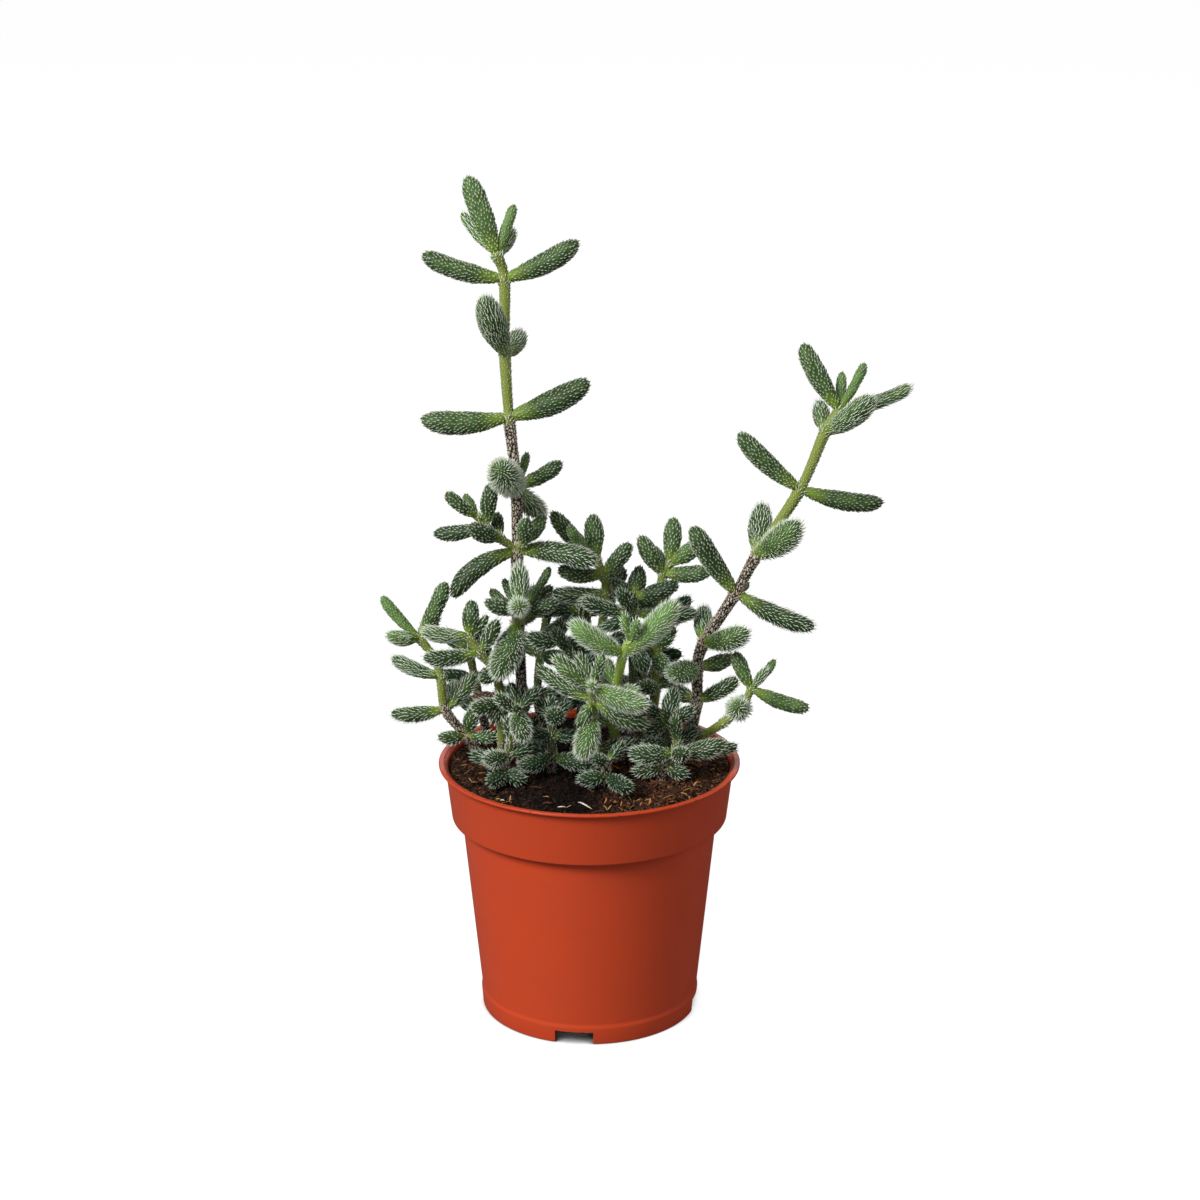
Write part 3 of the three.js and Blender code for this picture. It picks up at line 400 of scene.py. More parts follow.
def settle(leaf, beads):
    t = (np.arange(BEADS) + 0.5) / BEADS
    same = beads["stem"] == leaf["stem"]
    spare = beads["radius"] + np.where(same, OWN_OVERLAP, CLEARANCE)
    skipped = same[None] & ((t[:, None] < FREE_FROM) | (beads["t"][None] < FREE_FROM))
    for share, widest in BEND_TRIES:
        for swing in range(0, widest + 1, BEND_STEP):
            for way in range(BEND_WAYS if swing else 1):
                tried = bent(leaf, share, swing, way)
                at = leaf_points(tried, t)
                radius = leaf_radius(tried, t)
                out = np.hypot(at[:, 0], at[:, 1])
                lowest = np.where(out + radius > COLLAR_FOOT_RADIUS, RIM_CLEAR_Z, SOIL_CLEAR_Z)
                over_pot = out - radius <= RIM_RADIUS + CLEARANCE
                if np.any(over_pot & (at[:, 2] - radius < lowest)):
                    continue
                room = radius[:, None] + spare[None]
                apart = ((at[:, None] - beads["at"][None]) ** 2).sum(-1)
                if not np.any((apart < room * room) & ~skipped):
                    return tried, at, radius, t
    return None


def settle_all():
    beads = dict(at=[], radius=[], stem=[], t=[])
    for shoot in SHOOTS:
        for at in stem_beads(shoot):
            for key, value in zip(beads, (at, shoot["radius"], shoot["stem"], 0.0)):
                beads[key].append(value)
    beads = {key: np.array(value) for key, value in beads.items()}
    leaves = []
    for kind in ("leaves", "inner"):
        for shoot in SHOOTS:
            for row in shoot[kind]:
                found = settle(leaf_plan(shoot, row), beads)
                if not found:
                    continue
                leaf, at, radius, t = found
                leaves.append(leaf)
                beads["at"] = np.vstack([beads["at"], at])
                beads["radius"] = np.append(beads["radius"], radius)
                beads["stem"] = np.append(beads["stem"], [leaf["stem"]] * BEADS)
                beads["t"] = np.append(beads["t"], t)
    return leaves


# Meshes
class Skin:
    """Points and triangles of one piece, with a value a point for each named attribute."""

    def __init__(self):
        self.points = []
        self.faces = []
        self.values = {}
        self.looks = set()
        self.count = 0

    def add(self, points, faces, **values):
        self.points.append(points)
        self.faces += [[int(i) + self.count for i in face] for face in faces]
        self.looks.add(values.get("look"))
        for name, value in values.items():
            value = np.asarray(value, float)
            self.values.setdefault(name, []).append(value if value.ndim else np.full(len(points), value))
        self.count += len(points)

    def make(self, name):
        points = (np.vstack(self.points) + POT_AXIS) * MM
        mesh = bpy.data.meshes.new(name)
        mesh.from_pydata(points.tolist(), [], self.faces)
        for key, parts in self.values.items():
            value = np.concatenate(parts)
            wide = value.ndim > 1
            made = mesh.attributes.new(key, "FLOAT_VECTOR" if wide else "FLOAT", "POINT")
            made.data.foreach_set("vector" if wide else "value", value.ravel().astype(np.float32))
        mesh.shade_smooth()
        return piece_of(name, mesh)


def outward(points, faces):
    a, b, c = (points[faces[:, i]] for i in range(3))
    volume = np.einsum("ij,ij->i", a, np.cross(b, c)).sum()
    return faces if volume > 0 else faces[:, ::-1]


def tube(centres, across, upward, columns):
    """A closed tube from the first centre to the last. Every other ring is turned by half a column."""
    rings = len(centres) - 2
    ring = np.arange(rings)[:, None]
    column = np.arange(columns)[None]
    turn = 2 * np.pi * (column + 0.5 * (ring % 2)) / columns
    around = across[:, None] * np.cos(turn)[..., None] + upward[:, None] * np.sin(turn)[..., None]
    points = np.vstack([(centres[1:-1, None] + around).reshape(-1, 3), centres[:1], centres[-1:]])
    here = ring * columns + column
    beside = ring * columns + (column + 1) % columns
    a, b, c, d = here[:-1], beside[:-1], here[1:], beside[1:]
    turned = (ring[:-1] % 2 == 1) & (a >= 0)
    first = np.stack([a, b, np.where(turned, d, c)], -1).reshape(-1, 3)
    second = np.stack([np.where(turned, a, b), d, c], -1).reshape(-1, 3)
    foot_pole = np.full(columns, rings * columns)
    i = np.arange(columns)
    last = here[-1]
    foot = np.stack([i, foot_pole, (i + 1) % columns], -1)
    tip = np.stack([last, beside[-1], foot_pole + 1], -1)
    return points, outward(points, np.vstack([first, second, foot, tip]))


def per_point(ring_values, columns):
    """Values a ring, spread over the ring's points, with the first and last again for the poles."""
    ring_values = np.asarray(ring_values, float)
    return np.concatenate([np.repeat(ring_values, columns, axis=0), ring_values[:1], ring_values[-1:]])


def unit(rows):
    return rows / np.linalg.norm(rows, axis=1)[:, None]


def evenly(length_so_far, pitch):
    count = max(LEAST_RINGS, round(length_so_far[-1] / pitch))
    return (np.arange(count) + 0.5) / count * length_so_far[-1]


def look_of(leaf):
    if leaf["look"]:
        return leaf["look"]
    if (leaf["base"] + leaf["along"] * leaf["length"] / 2)[2] < SHAGGY_BELOW:
        return "shaggy"
    return "young" if leaf["thickness"] < YOUNG_UNDER else "studded"


def add_leaf(skin, leaf, chance):
    look = look_of(leaf)
    fine = np.linspace(0, 1, LEAF_SAMPLES)
    radius = leaf_radius(leaf, fine)
    steps = np.hypot(np.diff(fine) * leaf["length"], np.diff(radius))
    travelled = np.append(0, np.cumsum(steps))
    t = np.interp(evenly(travelled, SKIN_PITCH), travelled, fine)
    columns = YOUNG_COLUMNS if leaf["thickness"] < YOUNG_UNDER else LEAF_COLUMNS
    centres = leaf_points(leaf, np.concatenate([[0], t, [1]]))
    grain = unit(np.gradient(centres, axis=0)[1:-1])
    wave = np.sin(t * chance.uniform(6, 12) + chance.uniform(0, 6))
    radius = leaf_radius(leaf, t) * (1 + LEAF_WAVE * wave)
    if look == "dead":
        radius *= DEAD_SWELL * (1 + WRINKLE_DEPTH * np.sin(t * DEAD_WRINKLES))
    across = leaf["side"] * radius[:, None]
    upward = leaf["top"] * (radius * LEAF_FLATNESS)[:, None]
    points, faces = tube(centres, across, upward, columns)
    points += chance.uniform(-UNEVENNESS, UNEVENNESS, points.shape)
    tint = leaf["shoot"]["tint"] + BRIGHTER.get(look, 0) + TIP_BRIGHTER * leaf["place"] ** 2
    tint += chance.uniform(-TINT_SPREAD, TINT_SPREAD)
    skin.add(points, faces, look=LOOK_NUMBER[look], hair=per_point(0.8 + 0.2 * t, columns),
             grain=per_point(grain, columns), along=per_point(t, columns), tint=np.clip(tint, 0, 1),
             age=1.0 if look == "dead" else 0.0, pale=PALENESS.get(look, 1))


def smooth_line(points):
    """A curve through the points, and how far along the points each of its places is."""
    ends = np.vstack([2 * points[0] - points[1], points, 2 * points[-1] - points[-2]])
    curve, place = [], []
    for i in range(len(points) - 1):
        p, q, r, s = ends[i:i + 4]
        for u in np.linspace(0, 1, CURVE_STEPS, endpoint=i == len(points) - 2):
            curve.append(0.5 * (2 * q + (r - p) * u + (2 * p - 5 * q + 4 * r - s) * u * u
                                + (3 * q - p - 3 * r + s) * u ** 3))
            place.append(i + u)
    return np.array(curve), np.array(place)


def add_stem(skin, shoot, chance):
    knots = np.array(shoot["knots"], float)
    stub_z = (SOIL_EDGE_Z - STUB_DEPTH, SOIL_EDGE_Z) if shoot["root"] else ()
    stub = [(*knots[0][:2], z) for z in stub_z]
    line = np.array([*stub, *knots])
    way = line[-1] - line[-2]
    line = np.vstack([line, line[-1] + way / np.linalg.norm(way) * shoot["radius"]])
    curve, place = smooth_line(line)
    travelled = np.append(0, np.cumsum(np.linalg.norm(np.diff(curve, axis=0), axis=1)))
    at = evenly(travelled, STEM_PITCH)
    if shoot["root"]:
        at = np.append(at[0], at[at > STUB_DEPTH - 2])
    centres = np.stack([np.interp(np.concatenate([[0], at, travelled[-1:]]), travelled, curve[:, k])
                        for k in range(3)], -1)
    along = unit(np.gradient(centres, axis=0)[1:-1])
    right = unit(np.cross((0, 1, 0), along))
    away = np.cross(along, right)
    where = np.interp(at, travelled, place)
    taper = 1 + (STEM_TAPER - 1) * where / (len(line) - 1)
    knot_at = np.interp(np.arange(len(stub), len(line) - 1), place, travelled)
    knot_at = knot_at[1 if shoot["root"] else 0:]
    near = np.exp(-((at[:, None] - knot_at[None]) / KNOT_REACH) ** 2).max(1)
    up_internode = where % 1 - 0.5
    left = np.clip((travelled[-1] - at) / shoot["radius"], 0, 1)
    cap = np.sqrt(1 - (1 - left) ** 2)
    swell = 1 + KNOT_SWELL * near + INTERNODE_TAPER * 2 * up_internode * (1 - near)
    radius = shoot["radius"] * taper * swell * np.maximum(cap, BLUNT_TIP)
    points, faces = tube(centres, right * radius[:, None], away * radius[:, None], STEM_COLUMNS)
    height_z = centres[1:-1, 2]
    age = np.clip((shoot["woody"] - height_z) / BARK_FADE + 0.5, 0, 1)
    hair = (STEM_HAIR + KNOT_HAIR * near) * (height_z > SOIL_EDGE_Z)
    skin.add(points, faces, look=LOOK_NUMBER["stem"], hair=per_point(hair, STEM_COLUMNS),
             grain=per_point(along, STEM_COLUMNS), along=per_point(where / len(line), STEM_COLUMNS),
             tint=min(1, shoot["tint"] + STEM_BRIGHTER), age=per_point(age, STEM_COLUMNS),
             pale=PALENESS["stem"])


# Node helpers
def add(tree, kind, inputs=None, **settings):
    made = tree.nodes.new(kind)
    for name, value in settings.items():
        setattr(made, name, value)
    for socket, value in (inputs or {}).items():
        if isinstance(value, bpy.types.NodeSocket):
            tree.links.new(value, made.inputs[socket])
        else:
            made.inputs[socket].default_value = value
    return made


def math_of(tree, operation, *values):
    return add(tree, "ShaderNodeMath", dict(enumerate(values)), operation=operation).outputs[0]


def times(tree, *values):
    return math_of(tree, "MULTIPLY", *values)


def plus(tree, *values):
    return math_of(tree, "ADD", *values)


def minus(tree, *values):
    return math_of(tree, "SUBTRACT", *values)


def vector_of(tree, operation, *values):
    sockets = dict(enumerate(values))
    if operation == "SCALE":
        sockets["Scale"] = sockets.pop(1)
    return add(tree, "ShaderNodeVectorMath", sockets, operation=operation).outputs[0]


def shape_tree(name, sizes):
    """A geometry tree with an input for the mesh, one for each size, and one for the material."""
    tree = bpy.data.node_groups.new(name, "GeometryNodeTree")
    tree.interface.new_socket("Geometry", in_out="OUTPUT", socket_type="NodeSocketGeometry")
    tree.interface.new_socket("Geometry", in_out="INPUT", socket_type="NodeSocketGeometry")
    for label, value in sizes.items():
        kind = "NodeSocketInt" if isinstance(value, int) else "NodeSocketFloat"
        tree.interface.new_socket(label, in_out="INPUT", socket_type=kind).default_value = value
    tree.interface.new_socket("Material", in_out="INPUT", socket_type="NodeSocketMaterial")
    return tree, tree.nodes.new("NodeGroupInput").outputs


def named(tree, name, kind="FLOAT"):
    return add(tree, "GeometryNodeInputNamedAttribute", {"Name": name}, data_type=kind).outputs[0]


def random_number(tree, low, high, seed, shift=0):
    given = {2: low, 3: high, 8: plus(tree, seed, shift)}
    return add(tree, "FunctionNodeRandomValue", given, data_type="FLOAT").outputs[1]


def random_vector(tree, low, high, seed, shift=0):
    given = {0: low, 1: high, 8: plus(tree, seed, shift)}
    return add(tree, "FunctionNodeRandomValue", given, data_type="FLOAT_VECTOR").outputs[0]


def mostly_small(tree, seed, smallest, largest):
    """A random size from smallest to largest, most of them near the smallest."""
    size = random_number(tree, 0.0, 1.0, seed, 2)
    size = times(tree, size, size)
    span = minus(tree, largest, smallest)
    return plus(tree, times(tree, size, span), smallest)


def scale_in(tree, length):
    """The scale of a texture whose patches are so many millimetres across."""
    return math_of(tree, "DIVIDE", 1 / MM, length)


def noise(tree, place, scale, detail):
    return add(tree, "ShaderNodeTexNoise", {"Vector": place, "Scale": scale, "Detail": detail}).outputs


def vector_from(tree, **parts):
    numbered = {"xyz".index(axis): value for axis, value in parts.items()}
    return add(tree, "ShaderNodeCombineXYZ", numbered).outputs[0]


def end_tree(tree, geometry, material):
    coated = add(tree, "GeometryNodeSetMaterial", {"Geometry": geometry, "Material": material})
    add(tree, "NodeGroupOutput", {0: coated.outputs[0]})


def apply_tree(piece, tree, material, **sizes):
    """Runs a geometry tree on a piece and leaves its result as a plain mesh."""
    modifier = piece.modifiers.new(tree.name, "NODES")
    modifier.node_group = tree
    sizes["Material"] = material
    for item in tree.interface.items_tree:
        if item.in_out == "INPUT" and item.name.replace(" ", "_") in sizes:
            modifier[item.identifier] = sizes[item.name.replace(" ", "_")]
    bpy.context.view_layer.update()
    graph = bpy.context.evaluated_depsgraph_get()
    mesh = bpy.data.meshes.new_from_object(piece.evaluated_get(graph), preserve_all_data_layers=True,
                                           depsgraph=graph)
    piece.modifiers.clear()
    return mesh


def piece_of(name, mesh):
    mesh.name = name
    piece = bpy.data.objects.new(name, mesh)
    bpy.context.scene.collection.objects.link(piece)
    return piece


# Geometry trees
FULL_TURN = 6.28
CM2 = 0.0001


def make_bristle_tree():
    """Sets a papilla with a tapering, bowed bristle on each of many evenly scattered points of the
    skins of one look. Lengths are in millimetres."""
    tree, given = shape_tree("bristles", {
        "Look": 0, "Gap": 0.8, "Length": 1.0, "Foot": 0.3, "Shoulder": 0.2, "Width": 0.12,
        "Foot Share": 0.2, "Lay": 0.5, "Bow": 0.2, "Segments": 2, "Spread": 0.2, "Seed": 1})
    off = math_of(tree, "ABSOLUTE", minus(tree, named(tree, "look"), given["Look"]))
    gap = times(tree, given["Gap"], MM)
    most = math_of(tree, "DIVIDE", 4.0, times(tree, gap, gap))
    spots = add(tree, "GeometryNodeDistributePointsOnFaces", {
        "Mesh": given["Geometry"], "Selection": math_of(tree, "LESS_THAN", off, 0.5), "Distance Min": gap,
        "Density Max": most, "Seed": given["Seed"]}, distribute_method="POISSON")
    grain = named(tree, "grain", "FLOAT_VECTOR")
    stand = minus(tree, 1.0, given["Lay"])
    upright = vector_of(tree, "SCALE", spots.outputs["Normal"], stand)
    leaning = vector_of(tree, "SCALE", grain, given["Lay"])
    stray = random_vector(tree, (-1, -1, -1), (1, 1, 1), given["Seed"])
    stray = vector_of(tree, "SCALE", stray, given["Spread"])
    way = vector_of(tree, "ADD", vector_of(tree, "ADD", upright, leaning), stray)
    turn = add(tree, "FunctionNodeAxesToRotation", {0: way, 1: grain}, primary_axis="Z", secondary_axis="X")

    cone = add(tree, "GeometryNodeMeshCone", {
        "Vertices": BRISTLE_SIDES, "Side Segments": given["Segments"], "Radius Top": 0.0,
        "Radius Bottom": 1.0, "Depth": 1.0}, fill_type="NONE")
    place = add(tree, "GeometryNodeInputPosition").outputs[0]
    x, y, up = add(tree, "ShaderNodeSeparateXYZ", {0: place}).outputs
    at_foot = math_of(tree, "LESS_THAN", up, 0.01)
    taper = minus(tree, 1.0, up)
    low = math_of(tree, "LESS_THAN", up, 0.4)
    width = add(tree, "ShaderNodeMix", {0: low, 2: given["Width"], 3: given["Shoulder"]}).outputs[0]
    width = add(tree, "ShaderNodeMix", {0: at_foot, 2: width, 3: given["Foot"]}).outputs[0]
    width = math_of(tree, "DIVIDE", width, given["Length"])
    width = math_of(tree, "DIVIDE", width, math_of(tree, "POWER", taper, 0.6))
    height = math_of(tree, "POWER", up, add(tree, "ShaderNodeMapRange", {
        0: given["Foot Share"], 1: 0.1, 2: 0.4, 3: 1.9, 4: 1.3}).outputs[0])
    bow = times(tree, times(tree, up, up), given["Bow"])
    shaped = vector_from(tree, x=plus(tree, times(tree, x, width), bow), y=times(tree, y, width),
                         z=minus(tree, height, BRISTLE_SINK))
    marked = add(tree, "GeometryNodeStoreNamedAttribute", {
        "Geometry": cone.outputs[0], "Name": "up", "Value": up}, data_type="FLOAT", domain="POINT")
    bristle = add(tree, "GeometryNodeSetPosition", {"Geometry": marked.outputs[0], "Position": shaped})

    size = times(tree, times(tree, named(tree, "hair"), given["Length"]), MM)
    size = times(tree, size, random_number(tree, 0.72, 1.18, given["Seed"], 4))
    grown = add(tree, "GeometryNodeInstanceOnPoints", {
        "Points": spots.outputs["Points"], "Instance": bristle.outputs[0], "Rotation": turn.outputs[0],
        "Selection": math_of(tree, "GREATER_THAN", named(tree, "hair"), 0.1), "Scale": size})
    real = add(tree, "GeometryNodeRealizeInstances", {0: grown.outputs[0]})
    end_tree(tree, real.outputs[0], given["Material"])
    return tree


def make_peat_tree():
    """Heaves the loose top of the soil into lumps and crumbs."""
    tree, given = shape_tree("peat_top", {
        "Lump Size": 9.0, "Lump Height": 1.0, "Crumb Size": 2.0, "Crumb Height": 1.0})
    loose = named(tree, "loose")
    place = add(tree, "GeometryNodeInputPosition").outputs[0]
    lumps = noise(tree, place, scale_in(tree, given["Lump Size"]), 2.0)[0]
    crumbs = add(tree, "ShaderNodeTexVoronoi", {
        "Vector": place, "Scale": scale_in(tree, given["Crumb Size"])})
    lump = minus(tree, lumps, 0.5)
    lump = times(tree, lump, given["Lump Height"])
    crumb = minus(tree, 0.45, crumbs.outputs[0])
    crumb = times(tree, crumb, given["Crumb Height"])
    rise = times(tree, plus(tree, lump, crumb), loose)
    offset = vector_from(tree, z=times(tree, rise, MM))
    heaved = add(tree, "GeometryNodeSetPosition", {"Geometry": given["Geometry"], "Offset": offset})
    end_tree(tree, heaved.outputs[0], given["Material"])
    return tree


def scattered(tree, given, instance, turn, scale):
    """Instances on the loose soil, each with its own shade from 0 to 1, made real. Gathered ones keep
    to where the soil is strewn with them."""
    density = math_of(tree, "DIVIDE", given["Each cm2"], CM2)
    share = add(tree, "ShaderNodeMix", {0: given["Gathered"], 2: 1.0, 3: named(tree, "strewn")}).outputs[0]
    density = times(tree, density, share)
    points = add(tree, "GeometryNodeDistributePointsOnFaces", {
        "Mesh": given["Geometry"], "Selection": math_of(tree, "GREATER_THAN", named(tree, "loose"), 0.3),
        "Density": density, "Seed": given["Seed"]})
    shaded = add(tree, "GeometryNodeStoreNamedAttribute", {
        "Geometry": points.outputs[0], "Name": "shade",
        "Value": random_number(tree, 0.0, 1.0, given["Seed"], 5)}, data_type="FLOAT", domain="POINT")
    placed = add(tree, "GeometryNodeInstanceOnPoints", {
        "Points": shaded.outputs[0], "Instance": instance, "Rotation": turn, "Scale": scale})
    return add(tree, "GeometryNodeRealizeInstances", {0: placed.outputs[0]}).outputs[0]


def make_crumb_tree():
    """Loose crumbs of peat, no two of one shape."""
    tree, given = shape_tree("peat_crumbs", {
        "Each cm2": 20.0, "Smallest": 0.3, "Largest": 1.0, "Long": 1.0, "Flat": 1.0, "Roughness": 0.3,
        "Gathered": 0.0, "Seed": 1})
    lump = add(tree, "GeometryNodeMeshIcoSphere", {"Radius": 1.0, "Subdivisions": 1}).outputs[0]
    turn = random_vector(tree, (-0.6, -0.6, 0), (0.6, 0.6, FULL_TURN), given["Seed"], 1)
    size = mostly_small(tree, given["Seed"], given["Smallest"], given["Largest"])
    shape = random_vector(tree, (0.7, 0.5, 0.4), (1.4, 1.0, 0.8), given["Seed"], 3)
    form = vector_from(tree, x=given["Long"], y=1.0, z=given["Flat"])
    form = vector_of(tree, "MULTIPLY", shape, form)
    scale = vector_of(tree, "SCALE", form, times(tree, size, MM / 2))
    real = scattered(tree, given, lump, turn, scale)
    place = add(tree, "GeometryNodeInputPosition").outputs[0]
    jolt = vector_of(tree, "SUBTRACT", noise(tree, place, CRUMB_DENTS / MM, 1.0)[1], (0.5, 0.5, 0.5))
    jolt = vector_of(tree, "SCALE", jolt, times(tree, given["Roughness"], MM))
    rough = add(tree, "GeometryNodeSetPosition", {"Geometry": real, "Offset": jolt})
    end_tree(tree, rough.outputs[0], given["Material"])
    return tree


def make_fibre_tree():
    """Bent fibres that lie on the peat or stick out of it."""
    tree, given = shape_tree("peat_fibres", {
        "Each cm2": 10.0, "Shortest": 1.0, "Longest": 5.0, "Thickness": 0.2, "Tilt": 0.4, "Gathered": 0.0,
        "Seed": 1})
    bend = add(tree, "GeometryNodeCurveQuadraticBezier", {
        "Resolution": 4, "Start": (-0.5, 0, 0), "Middle": (0.1, 0.25, 0.1), "End": (0.5, 0, 0)})
    ring = add(tree, "GeometryNodeCurvePrimitiveCircle", {"Resolution": 3, "Radius": given["Thickness"]})
    fibre = add(tree, "GeometryNodeCurveToMesh", {
        "Curve": bend.outputs[0], "Profile Curve": ring.outputs[0], "Fill Caps": True}).outputs[0]
    tilt = times(tree, given["Tilt"], -1.0)
    low = vector_from(tree, x=tilt, y=tilt)
    high = vector_from(tree, x=given["Tilt"], y=given["Tilt"], z=FULL_TURN)
    turn = random_vector(tree, low, high, given["Seed"], 1)
    size = mostly_small(tree, given["Seed"], given["Shortest"], given["Longest"])
    real = scattered(tree, given, fibre, turn, times(tree, size, MM))
    end_tree(tree, real, given["Material"])
    return tree


# Shader groups that several materials use
def shader_group(name, inputs, outputs):
    tree = bpy.data.node_groups.new(name, "ShaderNodeTree")
    for label, value in inputs.items():
        kind = "NodeSocketColor" if isinstance(value, tuple) else "NodeSocketFloat"
        tree.interface.new_socket(label, in_out="INPUT", socket_type=kind).default_value = value
    for label, kind in outputs.items():
        tree.interface.new_socket(label, in_out="OUTPUT", socket_type=kind)
    return tree, tree.nodes.new("NodeGroupInput").outputs


def make_mottle_group():
    """Soft uneven patches from 0 to 1, their size in millimetres, and a fine grain for a bump."""
    tree, given = shader_group("mottle", {"Patch Size": 5.0, "Grain Size": 0.5, "Contrast": 1.0},
                               {"Patches": "NodeSocketFloat", "Grain": "NodeSocketFloat"})
    place = add(tree, "ShaderNodeTexCoord").outputs["Object"]
    patches = noise(tree, place, scale_in(tree, given["Patch Size"]), 4.0)[0]
    grain = noise(tree, place, scale_in(tree, given["Grain Size"]), 2.0)[0]
    spread = times(tree, minus(tree, patches, 0.5), times(tree, given["Contrast"], 3.0))
    level = add(tree, "ShaderNodeClamp", {0: plus(tree, spread, 0.5)}).outputs[0]
    add(tree, "NodeGroupOutput", {"Patches": level, "Grain": grain})
    return tree


def material_of(name, **constants):
    made = bpy.data.materials.new(name)
    made.use_nodes = True
    shader = made.node_tree.nodes["Principled BSDF"]
    for socket, value in constants.items():
        shader.inputs[socket.replace("_", " ")].default_value = value
    return made, made.node_tree, shader


def blended(tree, share, low, high):
    return add(tree, "ShaderNodeMix", {0: share, 6: low, 7: high}, data_type="RGBA").outputs[2]


def attribute(tree, name):
    return add(tree, "ShaderNodeAttribute", attribute_name=name).outputs["Fac"]


def ranged(tree, value, low, high, to_low=0.0, to_high=1.0):
    return add(tree, "ShaderNodeMapRange", {0: value, 1: low, 2: high, 3: to_low, 4: to_high},
               interpolation_type="SMOOTHSTEP").outputs[0]


def bumped(tree, shader, height, strength, distance):
    made = add(tree, "ShaderNodeBump", {"Height": height, "Strength": strength, "Distance": distance * MM})
    tree.links.new(made.outputs[0], shader.inputs["Normal"])


def linked(tree, shader, **sockets):
    for socket, value in sockets.items():
        tree.links.new(value, shader.inputs[socket.replace("_", " ")])


def mottled(tree, mottle, patch, grain, contrast=1.0):
    made = add(tree, "ShaderNodeGroup", node_tree=mottle)
    for label, value in (("Patch Size", patch), ("Grain Size", grain), ("Contrast", contrast)):
        made.inputs[label].default_value = value
    return made.outputs["Patches"], made.outputs["Grain"]


# DARK_LEAF is partly painted shade, the green of leaves on low and inner shoots; SHADED_STEM and
# BRISTLE_SHADED are painted shade of their stems and bristles
DARK_LEAF = (0.014, 0.034, 0.014, 1)
MIDDLE_LEAF = (0.028, 0.06, 0.016, 1)
BRIGHT_LEAF = (0.16, 0.3, 0.07, 1)
LEAF_BASE = (0.2, 0.3, 0.03, 1)
DEAD_LEAF = (0.09, 0.045, 0.02, 1)
YOUNG_STEM = (0.24, 0.29, 0.045, 1)
BRIGHT_STEM = (0.33, 0.46, 0.06, 1)
SHADED_STEM = (0.045, 0.065, 0.014, 1)
OLD_STEM = (0.014, 0.008, 0.006, 1)
STEM_CREAM = (0.6, 0.52, 0.42, 1)
BRISTLE_SHADED = (0.42, 0.54, 0.41, 1)
BRISTLE_WHITE = (0.88, 0.95, 0.78, 1)
BRISTLE_CREAM = (0.6, 0.5, 0.38, 1)
PEAT_DARK = (0.003, 0.0022, 0.0018, 1)
PEAT_BROWN = (0.058, 0.028, 0.017, 1)
PEAT_TAN = (0.19, 0.078, 0.037, 1)
SPLINTER = (0.95, 0.9, 0.78, 1)
FIBRE_RUST = (0.45, 0.16, 0.04, 1)
FIBRE_STRAW = (0.55, 0.34, 0.13, 1)
POT_ORANGE = (0.61, 0.066, 0.019, 1)
POT_WORN = (0.58, 0.064, 0.02, 1)

# Textures: patches a metre in the pot's dust, and a millimetre in the bark and on a crumb
DUST_SCALE = 900.0
BARK_CELLS = 1.2
CRUMB_DENTS = 1.2


def make_green_group():
    """The green of a leaf by its tint and painted shade, darkest on the low and inner shoots, yellower at
    its foot, and brown where it is dead.
    """
    tree, given = shader_group("leaf_green", {"Tint": 0.5, "Along": 0.5, "Age": 0.0, "Shade": 0.5},
                               {"Color": "NodeSocketColor"})
    tint = plus(tree, given["Tint"], ranged(tree, given["Shade"], 0, 1, -0.08, 0.08))
    colour = blended(tree, ranged(tree, tint, 0.0, 0.45), DARK_LEAF, MIDDLE_LEAF)
    colour = blended(tree, ranged(tree, tint, 0.35, 1.0), colour, BRIGHT_LEAF)
    base = times(tree, ranged(tree, given["Along"], 0.04, 0.38, 0.9, 0.0), ranged(tree, tint, 0.05, 0.4))
    colour = blended(tree, base, colour, LEAF_BASE)
    add(tree, "NodeGroupOutput", {"Color": blended(tree, given["Age"], colour, DEAD_LEAF)})
    return tree


def leaf_green(tree, green, shade):
    return add(tree, "ShaderNodeGroup", {
        "Tint": attribute(tree, "tint"), "Along": attribute(tree, "along"), "Age": attribute(tree, "age"),
        "Shade": shade}, node_tree=green).outputs[0]


def make_leaf_material(mottle, green):
    made, tree, shader = material_of("leaf_skin", Subsurface_Weight=0.08, Subsurface_Scale=0.001,
                                     Subsurface_Radius=(0.5, 1.0, 0.2), Specular_IOR_Level=0.22)
    patches, grain = mottled(tree, mottle, 3.0, 0.3, 1.3)
    linked(tree, shader, Base_Color=leaf_green(tree, green, patches),
           Roughness=ranged(tree, patches, 0, 1, 0.45, 0.6))
    bumped(tree, shader, grain, 0.5, 0.12)
    return made


